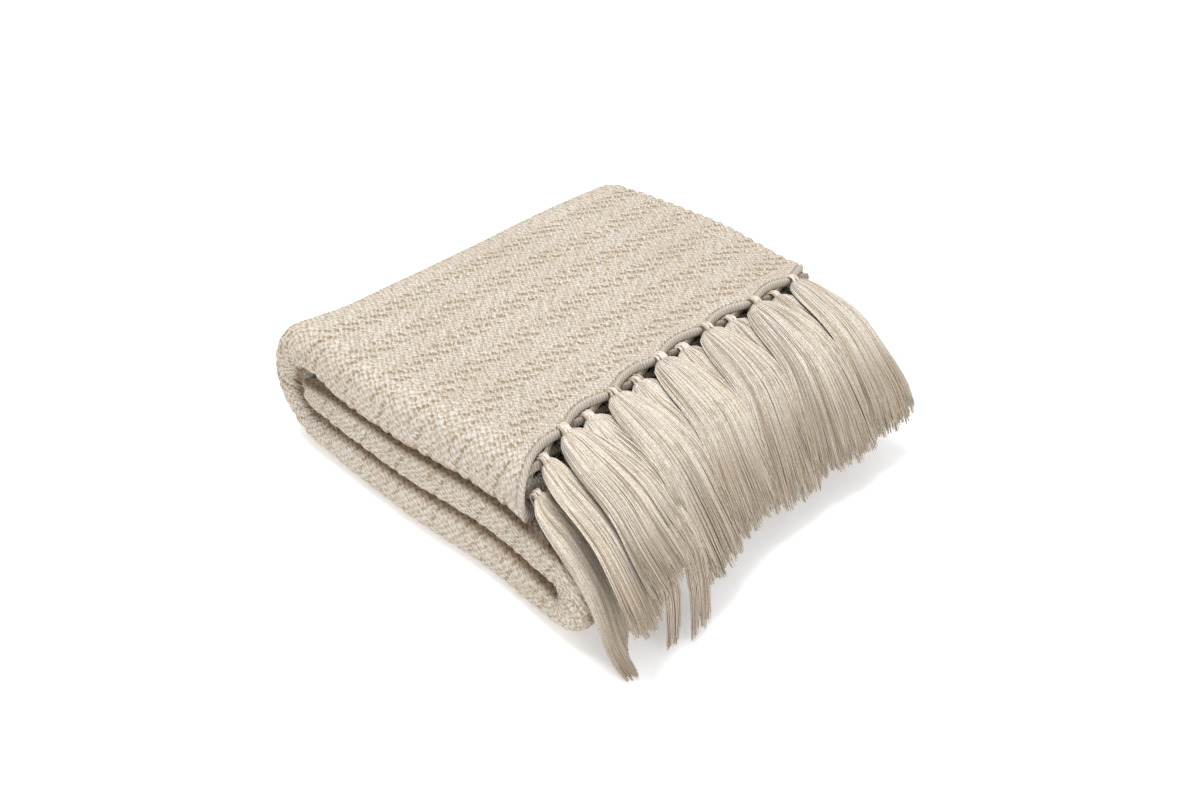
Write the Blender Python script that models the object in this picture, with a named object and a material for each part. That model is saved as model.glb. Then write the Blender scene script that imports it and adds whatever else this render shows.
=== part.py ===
"""Knitted throw blanket, folded into a stack, with tassels knotted along both ends.

Units are metres. +X runs from the folded end of the stack to the fringed end, +Y runs across it,
and +Z is up. The stack lies on Z = 0.

How it is folded: the throw is first doubled, so that both tasselled ends lie together. The doubled
cloth is then quartered across its width, which makes a band of four layers and eight plies, and the
band is folded in three: a top run with the fringe, a bottom run, and a tongue tucked between them.
"""

import math

import bmesh
import bpy

# The cloth
PLY = 0.0034              # thickness of one ply of knit
PLY_PITCH = 0.0043        # from the middle of one ply to the next
LAYER_PITCH = 2 * PLY_PITCH
FOLDED_WIDTH = 0.328      # across the stack, from fold to fold
OUTER_SELVEDGE_INSET = 0.003
INNER_SELVEDGE_INSET = 0.008

# The thickness of each run of the band, in side view, and what lies between the runs
TOP_RUN = 0.0390
TONGUE = 0.0260
BOTTOM_RUN = 0.0370
RUN_GAP = 0.0015
LOOSE_BAND = 7 * PLY_PITCH + PLY
FOLDED_END = 0.034        # of the band where it bends round the tongue
FRINGE_FOLD = 0.030       # of the band where it turns up into the tongue
TONGUE_TIP = 0.020

# Heights of the middle of each run, and where the runs end along X
BOTTOM_Z = BOTTOM_RUN / 2
TONGUE_Z = BOTTOM_RUN + RUN_GAP + TONGUE / 2
TOP_Z = BOTTOM_RUN + TONGUE + 2 * RUN_GAP + TOP_RUN / 2
BEND_RADIUS = (TOP_Z - BOTTOM_Z) / 2
TURN_RADIUS = (TONGUE_Z - BOTTOM_Z) / 2
BEND_X = BEND_RADIUS + FOLDED_END / 2
TOP_END_X = 0.250
TURN_X = 0.2685
TONGUE_TIP_X = 0.041

# The tasselled edge
KNOT_PITCH = 0.0503
SCALLOP_DEPTH = 0.005
SCALLOP_PARTS = 4         # points of the edge from one knot to the next
EDGE_STRIP = 0.020        # cloth beside the edge, where it is divided more finely
KNOTS_PER_EDGE = 6

# A tassel
HEAD_WIDTH = 0.0090
HEAD_THICKNESS = 0.0040
HEAD_SEAT = 0.0004        # from the edge of the cloth to the head
TIP_THICKNESS = 0.0034
HEAD_START_WIDTH = 0.7    # share of the head's width and thickness at its knot
HEAD_START_THICKNESS = 0.8
FAN_SHAPE = 0.8           # below 1, a skirt widens sooner
LOCK_GAP = 0.12           # share of a lock's room that stays empty beside it
FRINGE_INSET = 0.012      # how far the skirts stop short of the back of the stack
FIRST_LANE = 0.0205       # where the skirts begin, behind the front corner's own tassel
LEAN = 0.020              # how far the tips lean towards the front in the middle of the stack

# How the pile settles, by the distance across the stack: how far the folded end, the tasselled
# edge, the fold below it and the tips of the tassels reach out along X, beyond their plain places
SETTLE = (
    # across, bend, edge, fold, tips
    (-0.020, -0.006, 0.024, 0.030, -0.008),
    (0.000, -0.006, 0.024, 0.030, -0.008),
    (0.052, 0.002, 0.009, 0.016, -0.007),
    (0.104, -0.002, 0.002, 0.004, -0.006),
    (0.156, -0.005, -0.004, -0.002, -0.010),
    (0.208, -0.006, -0.006, -0.004, -0.008),
    (0.260, -0.007, -0.004, -0.002, -0.004),
    (0.330, -0.008, -0.010, 0.000, -0.004),
    (0.350, -0.008, -0.010, 0.000, -0.004),
)
RISE_TO_FRINGE = 0.050    # share by which the pile is taller at its fringed end
BACK_BULGE = 0.006        # how far the back swells out halfway along
FRONT_WAIST = 0.005       # how far the front draws in, before the corner under the first tassel
WAIST_X = 0.205
WAIST_LENGTH = 0.150
CORNER_DROOP = 0.050      # share by which the back corner of the tasselled end hangs lower
RISE_LIMIT = 1.2          # of the top run's length, where the rise ends
HILL = 0.012              # share by which the pile rises and falls from place to place
HILL_TURNS_X = 33         # radians of that swell per metre
HILL_TURNS_Y = 27
FRONT_DEPTH = 0.080       # how deep the waist is felt from the front
TIPS_START_X = 0.300
TIPS_EASING = 0.040
CORNER_X = 0.150
CORNER_Y = 0.250
CORNER_EASING = 0.080
FOLD_LEVEL = 0.050        # below this height the fold's reach holds, and above the next the edge's
EDGE_LEVEL = 0.085

# The tassels' fall from the edge to the floor, along the uppermost edge and along the lowest
FALL = (
    # upper_x, upper_z, lower_x, lower_z
    (0.2500, 0.1030, 0.2500, 0.0680),
    (0.2580, 0.1035, 0.2575, 0.0682),
    (0.2760, 0.1040, 0.2690, 0.0690),
    (0.3050, 0.0975, 0.2905, 0.0662),
    (0.3275, 0.0780, 0.3050, 0.0500),
    (0.3430, 0.0550, 0.3085, 0.0240),
    (0.3510, 0.0395, 0.3180, TIP_THICKNESS / 2),
    (0.3560, 0.0270, 0.3380, TIP_THICKNESS / 2),
)
FALL_HEAD = 1             # the row of the table where a head ends and its locks begin
FALL_LEVEL = 6            # the row from which the lowest tassels lie level on the floor
LEVEL_DEPTH = 0.8         # how far down the edges a tassel's tips lie level

# The eight stacked edges from the top down: which kind of lock hangs there, and how its knots lie
EDGES = (
    # phase, locks, sides
    (0.0, 7, 4),
    (0.5, 7, 4),
    (0.0, 3, 3),
    (0.5, 3, 3),
    (0.5, 3, 3),
    (0.0, 3, 3),
    (0.5, 3, 3),
    (0.0, 3, 3),
)

# The tassel on the fold of the outermost ply: its place among the edges, down its fall
FRONT_DEPTHS = (0.5, 0.5, 0.6, 0.75, 0.85, 0.92, 1.0, 1.0)
FRONT_LOCKS = 8
FRONT_KNOT = 0.0045
FRONT_THICKNESS = 0.0060
FRONT_LANE = (0.0010, 0.0195)


class Path:
    """A line of straight runs and arcs in a plane, measured by the distance along it."""

    def __init__(self, start, heading, legs):
        self.legs = []
        x, y = start
        for length, turn in legs:
            self.legs.append((x, y, heading, length, turn))
            x, y, heading = self.step(x, y, heading, length, turn, length)
        self.length = sum(leg[3] for leg in self.legs)

    @staticmethod
    def step(x, y, heading, length, turn, along):
        if turn == 0:
            return x + along * math.cos(heading), y + along * math.sin(heading), heading
        radius = length / turn
        end = heading + along / radius
        x += radius * (math.sin(end) - math.sin(heading))
        y -= radius * (math.cos(end) - math.cos(heading))
        return x, y, end

    def at(self, distance, offset=0.0):
        """The point at a distance along the line, moved to its right-hand side by offset."""
        left = distance
        for leg in self.legs:
            if left <= leg[3] or leg is self.legs[-1]:
                break
            left -= leg[3]
        x, y, heading = self.step(*leg, left)
        return x + offset * math.sin(heading), y - offset * math.cos(heading)


def arc(radius, turn):
    return abs(radius * turn), turn


def straight(length):
    return length, 0


def ease(value):
    value = min(max(value, 0.0), 1.0)
    return value * value * (3 - 2 * value)


def between(rows, column, position):
    """A column of a table whose first column is a position, eased from row to row."""
    for low, high in zip(rows, rows[1:]):
        if position <= high[0]:
            break
    share = ease((position - low[0]) / (high[0] - low[0]))
    return low[column] + (high[column] - low[column]) * share


# The three folds, each in its own plane: the band in side view, the layers across the width, and
# the doubling of the cloth along its length

BAND_FOLD = Path((TOP_END_X, TOP_Z), math.pi, [
    straight(TOP_END_X - BEND_X),
    arc(BEND_RADIUS, math.pi),
    straight(TURN_X - BEND_X),
    arc(TURN_RADIUS, math.pi),
    straight(TURN_X - TONGUE_TIP_X),
])
LAYER_FOLD_Y = 1.5 * LAYER_PITCH + PLY_PITCH / 2 + PLY / 2
LAYER_BACK_Y = FOLDED_WIDTH - (LAYER_PITCH + PLY_PITCH + PLY) / 2
LAYER_FOLD = Path((FOLDED_WIDTH - OUTER_SELVEDGE_INSET, 1.5 * LAYER_PITCH), math.pi, [
    straight(FOLDED_WIDTH - OUTER_SELVEDGE_INSET - LAYER_FOLD_Y),
    arc(1.5 * LAYER_PITCH, math.pi),
    straight(LAYER_BACK_Y - LAYER_FOLD_Y),
    arc(0.5 * LAYER_PITCH, math.pi),
    straight(LAYER_BACK_Y - LAYER_FOLD_Y),
    arc(0.5 * LAYER_PITCH, -math.pi),
    straight(FOLDED_WIDTH - INNER_SELVEDGE_INSET - LAYER_FOLD_Y),
])
DOUBLING = Path((0, PLY_PITCH / 2), 0, [
    straight(BAND_FOLD.length - PLY_PITCH / 2 - PLY / 2),
    arc(PLY_PITCH / 2, -math.pi),
    straight(BAND_FOLD.length - PLY_PITCH / 2 - PLY / 2),
])

# Into how many parts each leg of a fold is divided
BAND_FOLD_STEPS = (3, 7, 4, 6, 3)
LAYER_FOLD_STEPS = {1: 6, 3: 3, 5: 3}
SQUEEZE_EASING = 0.04     # how soon the band grows from one run's thickness to the next


def squeeze(distance):
    """How thick the band is along its fold, as a share of the loose one."""
    bend_start = BAND_FOLD.legs[0][3]
    bottom_start = bend_start + BAND_FOLD.legs[1][3]
    turn_start = bottom_start + BAND_FOLD.legs[2][3]
    tongue_start = turn_start + BAND_FOLD.legs[3][3]
    easing = SQUEEZE_EASING
    rows = (
        (0.0, TOP_RUN),
        (bend_start - easing, TOP_RUN),
        (bend_start + easing, FOLDED_END),
        (bottom_start - easing, FOLDED_END),
        (bottom_start + easing, BOTTOM_RUN),
        (turn_start - easing, BOTTOM_RUN),
        (turn_start, FRINGE_FOLD),
        (turn_start + BAND_FOLD.legs[3][3] / 2, FRINGE_FOLD),
        (tongue_start, TONGUE),
        (BAND_FOLD.length - easing, TONGUE),
        (BAND_FOLD.length, TONGUE_TIP),
    )
    return between(rows, 1, distance) / LOOSE_BAND


def settle(x, y, z):
    """The place where the pile's own weight and the hand that laid it leave a point."""
    along = ease(x / TOP_END_X)
    up = ease((z - FOLD_LEVEL) / (EDGE_LEVEL - FOLD_LEVEL))
    bend, edge, fold, tips = (between(SETTLE, column, y) for column in range(1, 5))
    reach = bend * (1 - along) + (fold + (edge - fold) * up) * along
    reach += tips * ease((x - TIPS_START_X) / TIPS_EASING)
    bulge = BACK_BULGE * max(y / FOLDED_WIDTH, 0) ** 2
    bulge *= math.sin(math.pi * min(max(x / TOP_END_X, 0), 1))
    waist = FRONT_WAIST * ease(1 - y / FRONT_DEPTH) * ease(1 - abs(x - WAIST_X) / (WAIST_LENGTH / 2))
    hill = math.sin(HILL_TURNS_X * x + 1) * math.sin(HILL_TURNS_Y * y + 0.5)
    corner = ease((y - CORNER_Y) / CORNER_EASING) * ease((x - CORNER_X) / CORNER_EASING)
    risen = RISE_TO_FRINGE * min(x / TOP_END_X, RISE_LIMIT)
    taller = 1 + risen + HILL * hill - CORNER_DROOP * corner
    return x + reach, y + bulge + waist, z * taller


def cloth_point(lengthwise, across, side):
    """A point of the folded cloth, on one face of it (side +1 or -1)."""
    distance, doubled = DOUBLING.at(lengthwise, side * PLY / 2)
    y, layer = LAYER_FOLD.at(across, doubled)
    x, z = BAND_FOLD.at(distance, layer * squeeze(distance))
    return settle(x, y, z)


def scallop(y, phase):
    """How far the edge draws back between two knots."""
    return SCALLOP_DEPTH * abs(math.sin(math.pi * (y / KNOT_PITCH - phase)))


def edge_phase(across, upper_ply):
    """The outer layers' plies carry whole-step knots on top, the inner layers' below."""
    outer = across < sum(leg[3] for leg in LAYER_FOLD.legs[:3]) + LAYER_FOLD.legs[3][3] / 2
    return 0.0 if outer == upper_ply else 0.5


def across_stations():
    """Distances across the flat cloth for its fine division, and which of them are coarse."""
    fine = []
    coarse = []
    start = 0.0
    part = KNOT_PITCH / SCALLOP_PARTS
    for number, (y, _, heading, length, turn) in enumerate(LAYER_FOLD.legs):
        if turn:
            steps = LAYER_FOLD_STEPS[number]
            inner = [(length * step / steps, True) for step in range(1, steps)]
        else:
            sign = math.cos(heading)
            marks = range(1, round(FOLDED_WIDTH / part))
            inner = [((mark * part - y) * sign, mark % (2 * SCALLOP_PARTS) == 0) for mark in marks]
            inner = sorted(mark for mark in inner if part / 3 < mark[0] < length - part / 3)
        for distance, is_coarse in [(0.0, True)] + inner:
            if is_coarse:
                coarse.append(len(fine))
            fine.append(start + distance)
        start += length
    coarse.append(len(fine))
    fine.append(start)
    return fine, coarse


def lengthwise_stations():
    """Distances along the flat cloth, without its two scalloped ends."""
    ply = [EDGE_STRIP]
    start = 0.0
    for (_, _, _, length, _), count in zip(BAND_FOLD.legs, BAND_FOLD_STEPS):
        for i in range(count):
            distance = start + length * (i + 1) / count
            if distance > 2 * EDGE_STRIP:
                ply.append(distance)
        start += length
    ply[-1] = DOUBLING.legs[0][3]
    turn = DOUBLING.legs[1][3]
    middle = [ply[-1] + turn / 3, ply[-1] + turn * 2 / 3]
    return ply + middle + [DOUBLING.length - distance for distance in reversed(ply)]


def add_faces(mesh, low, high):
    """Faces between two rows of points that run the same way."""
    for i in range(len(low) - 1):
        mesh.faces.new((low[i], low[i + 1], high[i + 1], high[i]))


def add_edge_strip(mesh, coarse_row, fine_row, coarse):
    """Faces from a coarse row to the finer row of the scalloped edge."""
    for i in range(len(coarse) - 1):
        edge = fine_row[coarse[i]:coarse[i + 1] + 1]
        mesh.faces.new([coarse_row[i + 1], coarse_row[i]] + edge)


def build_panel():
    """The knitted panel, folded, as one closed sheet."""
    mesh = bmesh.new()
    fine, coarse = across_stations()
    lengthwise = lengthwise_stations()
    faces = []
    for side in (1, -1):
        rows = []
        for distance in lengthwise:
            rows.append([mesh.verts.new(cloth_point(distance, fine[i], side)) for i in coarse])
        edges = []
        for end, upper_ply in ((0.0, True), (DOUBLING.length, False)):
            edge = []
            for across in fine:
                y = LAYER_FOLD.at(across)[0]
                inset = scallop(y, edge_phase(across, upper_ply))
                distance = end + inset if upper_ply else end - inset
                edge.append(mesh.verts.new(cloth_point(distance, across, side)))
            edges.append(edge)
        for low, high in zip(rows, rows[1:]):
            add_faces(mesh, low, high)
        add_edge_strip(mesh, rows[0], edges[0], coarse)
        add_edge_strip(mesh, rows[-1], edges[1], coarse)
        faces.append((rows, edges))
    (rows_a, edges_a), (rows_b, edges_b) = faces
    for edge_a, edge_b in zip(edges_a, edges_b):
        add_faces(mesh, edge_a, edge_b)
    for end in (0, -1):
        selvedge_a = [edges_a[0][end]] + [row[end] for row in rows_a] + [edges_a[1][end]]
        selvedge_b = [edges_b[0][end]] + [row[end] for row in rows_b] + [edges_b[1][end]]
        add_faces(mesh, selvedge_a, selvedge_b)
    return mesh


def fall_point(station, depth):
    """A point of the tassels' fall: station is the row of the table, depth runs from 0 to 1."""
    upper_x, upper_z, lower_x, lower_z = FALL[station]
    return upper_x + (lower_x - upper_x) * depth, upper_z + (lower_z - upper_z) * depth


def fall_normal(station, depth):
    """The direction out of the fall there, towards the edge above."""
    before = fall_point(max(station - 1, 0), depth)
    after = fall_point(min(station + 1, len(FALL) - 1), depth)
    x, z = after[0] - before[0], after[1] - before[1]
    size = math.hypot(x, z)
    return -z / size, x / size


def leaning(y):
    return y - LEAN * math.sin(math.pi * min(max(y / FOLDED_WIDTH, 0), 1))


def lock_section(station, depth, y, half_width, half_thickness, sides):
    """The corners of a lock's cross-section, the lower ones first, each from front to back."""
    x, z = fall_point(station, depth)
    nx, nz = fall_normal(station, depth)
    if depth > (1 - 1e-6 if station == FALL_LEVEL else LEVEL_DEPTH) and station >= FALL_LEVEL:
        nx, nz = 0, 1
    low = [(x - nx * half_thickness, y + side * half_width, z - nz * half_thickness)
           for side in (-1, 1)]
    spread = (-1, 1) if sides == 4 else (0,)
    high = [(x + nx * half_thickness, y + side * half_width, z + nz * half_thickness)
            for side in spread]
    return low, high


def build_tassel(knot, depths, lane, locks, sides, thickness):
    """A tassel: a flat head at its knot, and locks that fan out as they fall."""
    mesh = bmesh.new()
    last = len(FALL) - 1
    chain_low, chain_high, tips = [], [], []
    for number in range(locks):
        previous = None
        for station in range(FALL_HEAD, last + 1):
            spread = ((station - FALL_HEAD) / (last - FALL_HEAD)) ** FAN_SHAPE
            front = knot - HEAD_WIDTH / 2 + (lane[0] - knot + HEAD_WIDTH / 2) * spread
            back = knot + HEAD_WIDTH / 2 + (lane[1] - knot - HEAD_WIDTH / 2) * spread
            room = (back - front) / locks
            y = front + room * (number + 0.5)
            half = room * (1 - LOCK_GAP) / 2
            thinned = min((station - FALL_HEAD) / (FALL_LEVEL - FALL_HEAD), 1)
            thin = thickness + (TIP_THICKNESS - thickness) * thinned
            low, high = lock_section(station, depths[station], y, half, thin / 2, sides)
            low = [mesh.verts.new(settle(*point)) for point in low]
            high = [mesh.verts.new(settle(*point)) for point in high]
            ring = low + high[::-1]
            if previous is None:
                chain_low += low
                chain_high += high
            else:
                add_faces(mesh, previous + previous[:1], ring + ring[:1])
            previous = ring
        tips.append(previous)
    for tip in tips:
        mesh.faces.new(tip)
    add_head(mesh, knot, depths[0], thickness, chain_low, chain_high, sides)
    return mesh


def add_fan(mesh, front, back, chain):
    """Triangles from the two corners at a knot to a row of lock corners."""
    middle = len(chain) // 2
    for i in range(len(chain) - 1):
        mesh.faces.new((front if i < middle else back, chain[i], chain[i + 1]))
    mesh.faces.new((front, chain[middle], back))


def add_head(mesh, knot, depth, thickness, chain_low, chain_high, sides):
    """The head's own faces, between its square start and the roots of the locks."""
    x, z = fall_point(0, depth)
    start = []
    for side, level in ((-1, -1), (1, -1), (1, 1), (-1, 1)):
        corner = (x + HEAD_SEAT,
                  knot + side * HEAD_START_WIDTH * HEAD_WIDTH / 2,
                  z + level * HEAD_START_THICKNESS * thickness / 2)
        start.append(mesh.verts.new(settle(*corner)))
    mesh.faces.new(start)
    add_fan(mesh, start[0], start[1], chain_low)
    add_fan(mesh, start[3], start[2], chain_high)
    mesh.faces.new((start[0], start[3], chain_high[0], chain_low[0]))
    mesh.faces.new((start[1], start[2], chain_high[-1], chain_low[-1]))
    high_step = 2 if sides == 4 else 1
    for i in range(len(chain_low) // 2 - 1):
        gap = [chain_low[2 * i + 1], chain_low[2 * i + 2]]
        gap += [chain_high[high_step * (i + 1)], chain_high[high_step * (i + 1) - 1]]
        mesh.faces.new(gap)


def wool(name, colour, roughness):
    material = bpy.data.materials.new(name)
    material.use_nodes = True
    shader = material.node_tree.nodes["Principled BSDF"]
    shader.inputs["Base Color"].default_value = (*colour, 1)
    shader.inputs["Roughness"].default_value = roughness
    shader.inputs["Metallic"].default_value = 0
    material.diffuse_color = (*colour, 1)
    return material


def place(name, mesh, material):
    """Turn a finished mesh into a named object."""
    bmesh.ops.recalc_face_normals(mesh, faces=mesh.faces)
    data = bpy.data.meshes.new(name)
    mesh.to_mesh(data)
    mesh.free()
    data.materials.append(material)
    piece = bpy.data.objects.new(name, data)
    bpy.context.scene.collection.objects.link(piece)


def hang_tassels(material):
    """The rows of tassels on the eight stacked edges."""
    for row, (phase, locks, sides) in enumerate(EDGES):
        depth = row / (len(EDGES) - 1)
        for number in range(1, KNOTS_PER_EDGE + 1):
            knot = (number - phase) * KNOT_PITCH
            front = max(knot - KNOT_PITCH / 2, FIRST_LANE)
            back = min(knot + KNOT_PITCH / 2, FOLDED_WIDTH - FRINGE_INSET)
            gap = LOCK_GAP * KNOT_PITCH / locks / 4
            lane = (leaning(front) + gap, leaning(back) - gap)
            depths = [depth] * len(FALL)
            mesh = build_tassel(knot, depths, lane, locks, sides, HEAD_THICKNESS)
            place(f"tassel_edge{row + 1}_knot{number}", mesh, material)


def hang_front_tassel(material):
    """The tassel on the fold of the outermost ply, which falls over the front corner."""
    mesh = build_tassel(FRONT_KNOT, FRONT_DEPTHS, FRONT_LANE, FRONT_LOCKS, 4, FRONT_THICKNESS)
    place("tassel_front_corner", mesh, material)


def stand_on_origin():
    """Move all pieces alike, so that the origin is the middle of the rectangle they cover."""
    pieces = list(bpy.data.objects)
    points = [point.co for piece in pieces for point in piece.data.vertices]
    middle = [(min(point[axis] for point in points) + max(point[axis] for point in points)) / 2
              for axis in (0, 1)]
    for piece in pieces:
        piece.location = (-middle[0], -middle[1], 0)


def main():
    for old in list(bpy.data.objects):
        bpy.data.objects.remove(old, do_unlink=True)
    place("knitted_panel", build_panel(), wool("knitted_cream", (0.78, 0.70, 0.58), 0.92))
    tassel_yarn = wool("tassel_yarn", (0.80, 0.74, 0.65), 0.75)
    hang_front_tassel(tassel_yarn)
    hang_tassels(tassel_yarn)
    stand_on_origin()


main()
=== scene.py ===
"""Knitted throw blanket, folded into a stack, with tassels knotted along both ends.

The cloth gets its herringbone knit and its rolled, scalloped edge, and every tassel becomes a bundle
of yarn with a wrapped knot. Units are metres. +X runs from the folded end of the stack to the
fringed end, +Y runs across it, and +Z is up. The stack lies on Z = 0.
"""

import math

import bmesh
import bpy
import numpy as np
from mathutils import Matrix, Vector


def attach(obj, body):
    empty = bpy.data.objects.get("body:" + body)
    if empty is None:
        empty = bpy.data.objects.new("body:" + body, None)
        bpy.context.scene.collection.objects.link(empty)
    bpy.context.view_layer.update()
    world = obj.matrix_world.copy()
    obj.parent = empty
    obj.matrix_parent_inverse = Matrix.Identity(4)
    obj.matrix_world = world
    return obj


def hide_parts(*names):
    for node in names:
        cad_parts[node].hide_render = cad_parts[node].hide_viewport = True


bl_info = {
    "name": "Knitted throw",
    "version": (1, 0, 0),
    "blender": (4, 5, 0),
    "location": "3D View > Sidebar > Throw",
    "description": "Dresses a folded, tasselled throw with its knit and its yarn",
    "category": "Object",
}

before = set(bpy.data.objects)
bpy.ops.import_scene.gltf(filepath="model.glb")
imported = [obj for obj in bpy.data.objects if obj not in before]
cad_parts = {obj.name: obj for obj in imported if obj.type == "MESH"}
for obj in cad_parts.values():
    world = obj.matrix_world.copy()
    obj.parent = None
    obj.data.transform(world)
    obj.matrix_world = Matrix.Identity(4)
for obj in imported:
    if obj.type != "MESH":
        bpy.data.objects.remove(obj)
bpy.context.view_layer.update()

# The cloth, as its solid is folded. A run is one of the three bands that lie over each other.
PLY = 0.0034
PLY_PITCH = 0.0043
LAYER_PITCH = 2 * PLY_PITCH
FOLDED_WIDTH = 0.328
OUTER_SELVEDGE_INSET = 0.003
INNER_SELVEDGE_INSET = 0.008
TOP_RUN = 0.0390          # thickness of each run, from the top down
TONGUE = 0.0260
BOTTOM_RUN = 0.0370
RUN_GAP = 0.0015
LOOSE_BAND = 7 * PLY_PITCH + PLY
FOLDED_END = 0.034        # thickness of the band where it bends, and at the tongue's tip
FRINGE_FOLD = 0.030
TONGUE_TIP = 0.020
BOTTOM_Z = BOTTOM_RUN / 2
TONGUE_Z = BOTTOM_RUN + RUN_GAP + TONGUE / 2
TOP_Z = BOTTOM_RUN + TONGUE + 2 * RUN_GAP + TOP_RUN / 2
BEND_RADIUS = (TOP_Z - BOTTOM_Z) / 2
TURN_RADIUS = (TONGUE_Z - BOTTOM_Z) / 2
BEND_X = BEND_RADIUS + FOLDED_END / 2
TOP_END_X = 0.250
TURN_X = 0.2685
TONGUE_TIP_X = 0.041
SQUEEZE_EASING = 0.04

# The tasselled edge
KNOT_PITCH = 0.0503
SCALLOP_DEPTH = 0.0072
SCALLOP_FADE = 0.022      # how far from the edge the scallops are still felt
KNOTS_PER_EDGE = 6

# Where the middle of the stack's rectangle lies, from the front corner of its folded end
MIDDLE_X = 0.18411486
MIDDLE_Y = 0.16641907

# How the pile settles, by the distance across the stack: how far the folded end, the tasselled
# edge, the fold below it and the tips of the tassels reach out along X, beyond their plain places
SETTLE = np.array((
    # across, bend, edge, fold, tips
    (-0.020, -0.006, 0.024, 0.030, -0.008),
    (0.000, -0.006, 0.024, 0.030, -0.008),
    (0.052, 0.002, 0.009, 0.016, -0.007),
    (0.104, -0.002, 0.002, 0.004, -0.006),
    (0.156, -0.005, -0.004, -0.002, -0.010),
    (0.208, -0.006, -0.006, -0.004, -0.008),
    (0.260, -0.007, -0.004, -0.002, -0.004),
    (0.330, -0.008, -0.010, 0.000, -0.004),
    (0.350, -0.008, -0.010, 0.000, -0.004),
))

# The softer settling: the pile rises to the fringe, its back bulges, its front draws in, its back
# corner droops, and its top has low hills
RISE_TO_FRINGE = 0.050
RISE_LIMIT = 1.2
BACK_BULGE = 0.006
FRONT_WAIST = 0.005
FRONT_DEPTH = 0.080
WAIST_X = 0.205
WAIST_LENGTH = 0.150
CORNER_DROOP = 0.050
CORNER_X = 0.150
CORNER_Y = 0.250
CORNER_EASING = 0.080
HILL = 0.012
HILL_TURNS_X = 33
HILL_TURNS_Y = 27
HILL_START_X = 1.0
HILL_START_Y = 0.5
TIPS_START_X = 0.300
TIPS_EASING = 0.040
FOLD_LEVEL = 0.050
EDGE_LEVEL = 0.085

# The folded front of the stack, and the creases between its bands, where shade is painted into the cloth
FRONT_SQUARENESS = 5.0    # 2 is round, and more is squarer
EDGE_FULLNESS = 0.5       # of the top band beside the tasselled edge
FLOOR_FULLNESS = 0.3      # of the bottom band towards the floor
CREASE_ABOVE = 0.215      # where a crease lies on the folded front, as a share of its turn
CREASE_BELOW = 0.775
CREASE_REACH = 0.060
PAINTED_CREASE_SHADE = 0.85       # how far the cloth takes the painted shade colour of the creases
UNDER_EDGE = 0.55         # how shaded the lower ply is where the upper one's edge hangs over it
BEYOND = 2.0              # further than any distance along the cloth

# The knit
COLUMN = 0.0162           # width of one column of the herringbone
GROOVE_PITCH = 0.0142     # from groove to groove, along a column
GROOVES_CROSSED = 1.65    # pitches that a groove climbs as it crosses its column
WEAK_RELIEF = 0.65        # depth of the grooves in every other column, beside the others
CORD_RISE = 0.3           # of the cords between the grooves, as a share of the grooves' depth
KNIT_START = 0.0190       # where the first column begins, from the knots' line
KNIT_EASING = 0.0020      # from the rolled edge to the full knit
STITCHES_PER_COLUMN = 6
STITCHES_PER_GROOVE = 4
SWELL = 0.0006            # soft unevenness of the outermost ply
SWELL_WAVES = ((19, 11, 0.0), (-9, 14, 1.3))    # turns across, turns lengthwise, start

# The rolled edge and the plain hem beside it
EDGE_WIDTH = 0.0040
HEM_WIDTH = 0.0125        # from the edge
HEM_RISE = 0.45           # as a share of the bead's height
HEM_START = 0.0030        # how softly the hem rises from the bead, and ends in the knit
HEM_END = 0.0040
DIP = 0.5                 # between bead and hem, as a share of the bead's height
DIP_REACH = 0.0009
RIB = 0.0024              # from rib to rib of the rolled edge
LIP = 0.0009              # how far the edge's lip stands out

# The rows and stations of the cloth's mesh, which is fine where the cloth shows
FINE_ACROSS = GROOVE_PITCH / 8
FINE_LENGTHWISE = COLUMN / 9
FINE_MARGIN = 0.010       # how far the fine mesh goes on beside a fold
FOLD_STEP = 4             # of so many fine stations, one is in every row
FLAT_STEP = 12
SHARED_STEP = 8           # of so many fine rows, one is on both faces
HIDDEN_PART = KNOT_PITCH / 4    # from station to station where the cloth is hidden
BACK_FOLD_STEPS = 16
INNER_FOLD_STEPS = 3
DOUBLING_STEPS = 4
INNER_PLY_STEPS = ((4, 12), (3, 8), (2, 12), (1, 12), (0, 10))    # leg of the fold, rows on it
INNER_PLY_END = 0.0040
# Distances of the rows beside an edge from it, all under the fade of the scallops
EDGE_ROWS = (0.0, 0.0004, 0.0010, 0.0018, 0.0026, 0.0033, 0.0038, 0.0042, 0.0048, 0.0057, 0.0068,
             0.0081, 0.0094, 0.0107, 0.0120, 0.0134, 0.0148, 0.0162, 0.0176, 0.0190, 0.0205)
HIDDEN_EDGE_ROWS = (0.0, 0.0018, 0.0042)
MIDDLE_STATION = 100      # number of the first row beyond the edge's own
LAST_STATION = 2000

# A tassel
HEAD_WIDTH = 0.0090
KNOT_LOOPS = 5
KNOT_LENGTH = 0.0045      # reach of its loops along X, and along Z
KNOT_HEIGHT = 0.0042
KNOT_BACK = 0.0012        # where the loops' middle lies from the start of the fall
KNOT_RISE = 0.0010
LOOP_PITCH = 0.0015
LOOP_RADIUS = 0.00105
LOOP_SLANT = 0.0006
LOWER_LOOP_RADIUS = 0.0008
LOWER_KNOT = 0.8          # size of the lower edges' knots, beside the others
LOOP_UNEVENNESS = 0.16    # from loop to loop, and round each loop
LOOP_LUMPS = 0.10
OUTER_LOOPS = 0.10        # how much smaller a knot's outermost loops are than its middle one
UPPER_DEPTH = 0.2         # the two upper edges lie above this share of the depth
LOOP_REACH = 0.003        # radius on which a loop's length is counted
STRAND_START = 0.15       # where the strands leave the knot, in rows of the fall
STRAND_WIDTHS = (0.85, 1.15)
TIP_GATHERING = 1.15      # how soon the strands lean from the knot's place to the tips': less is sooner
SHORTER_FROM = -0.375     # where across a tassel it begins to shorten, and over what share of it
SHORTER_OVER = 0.625
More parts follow.
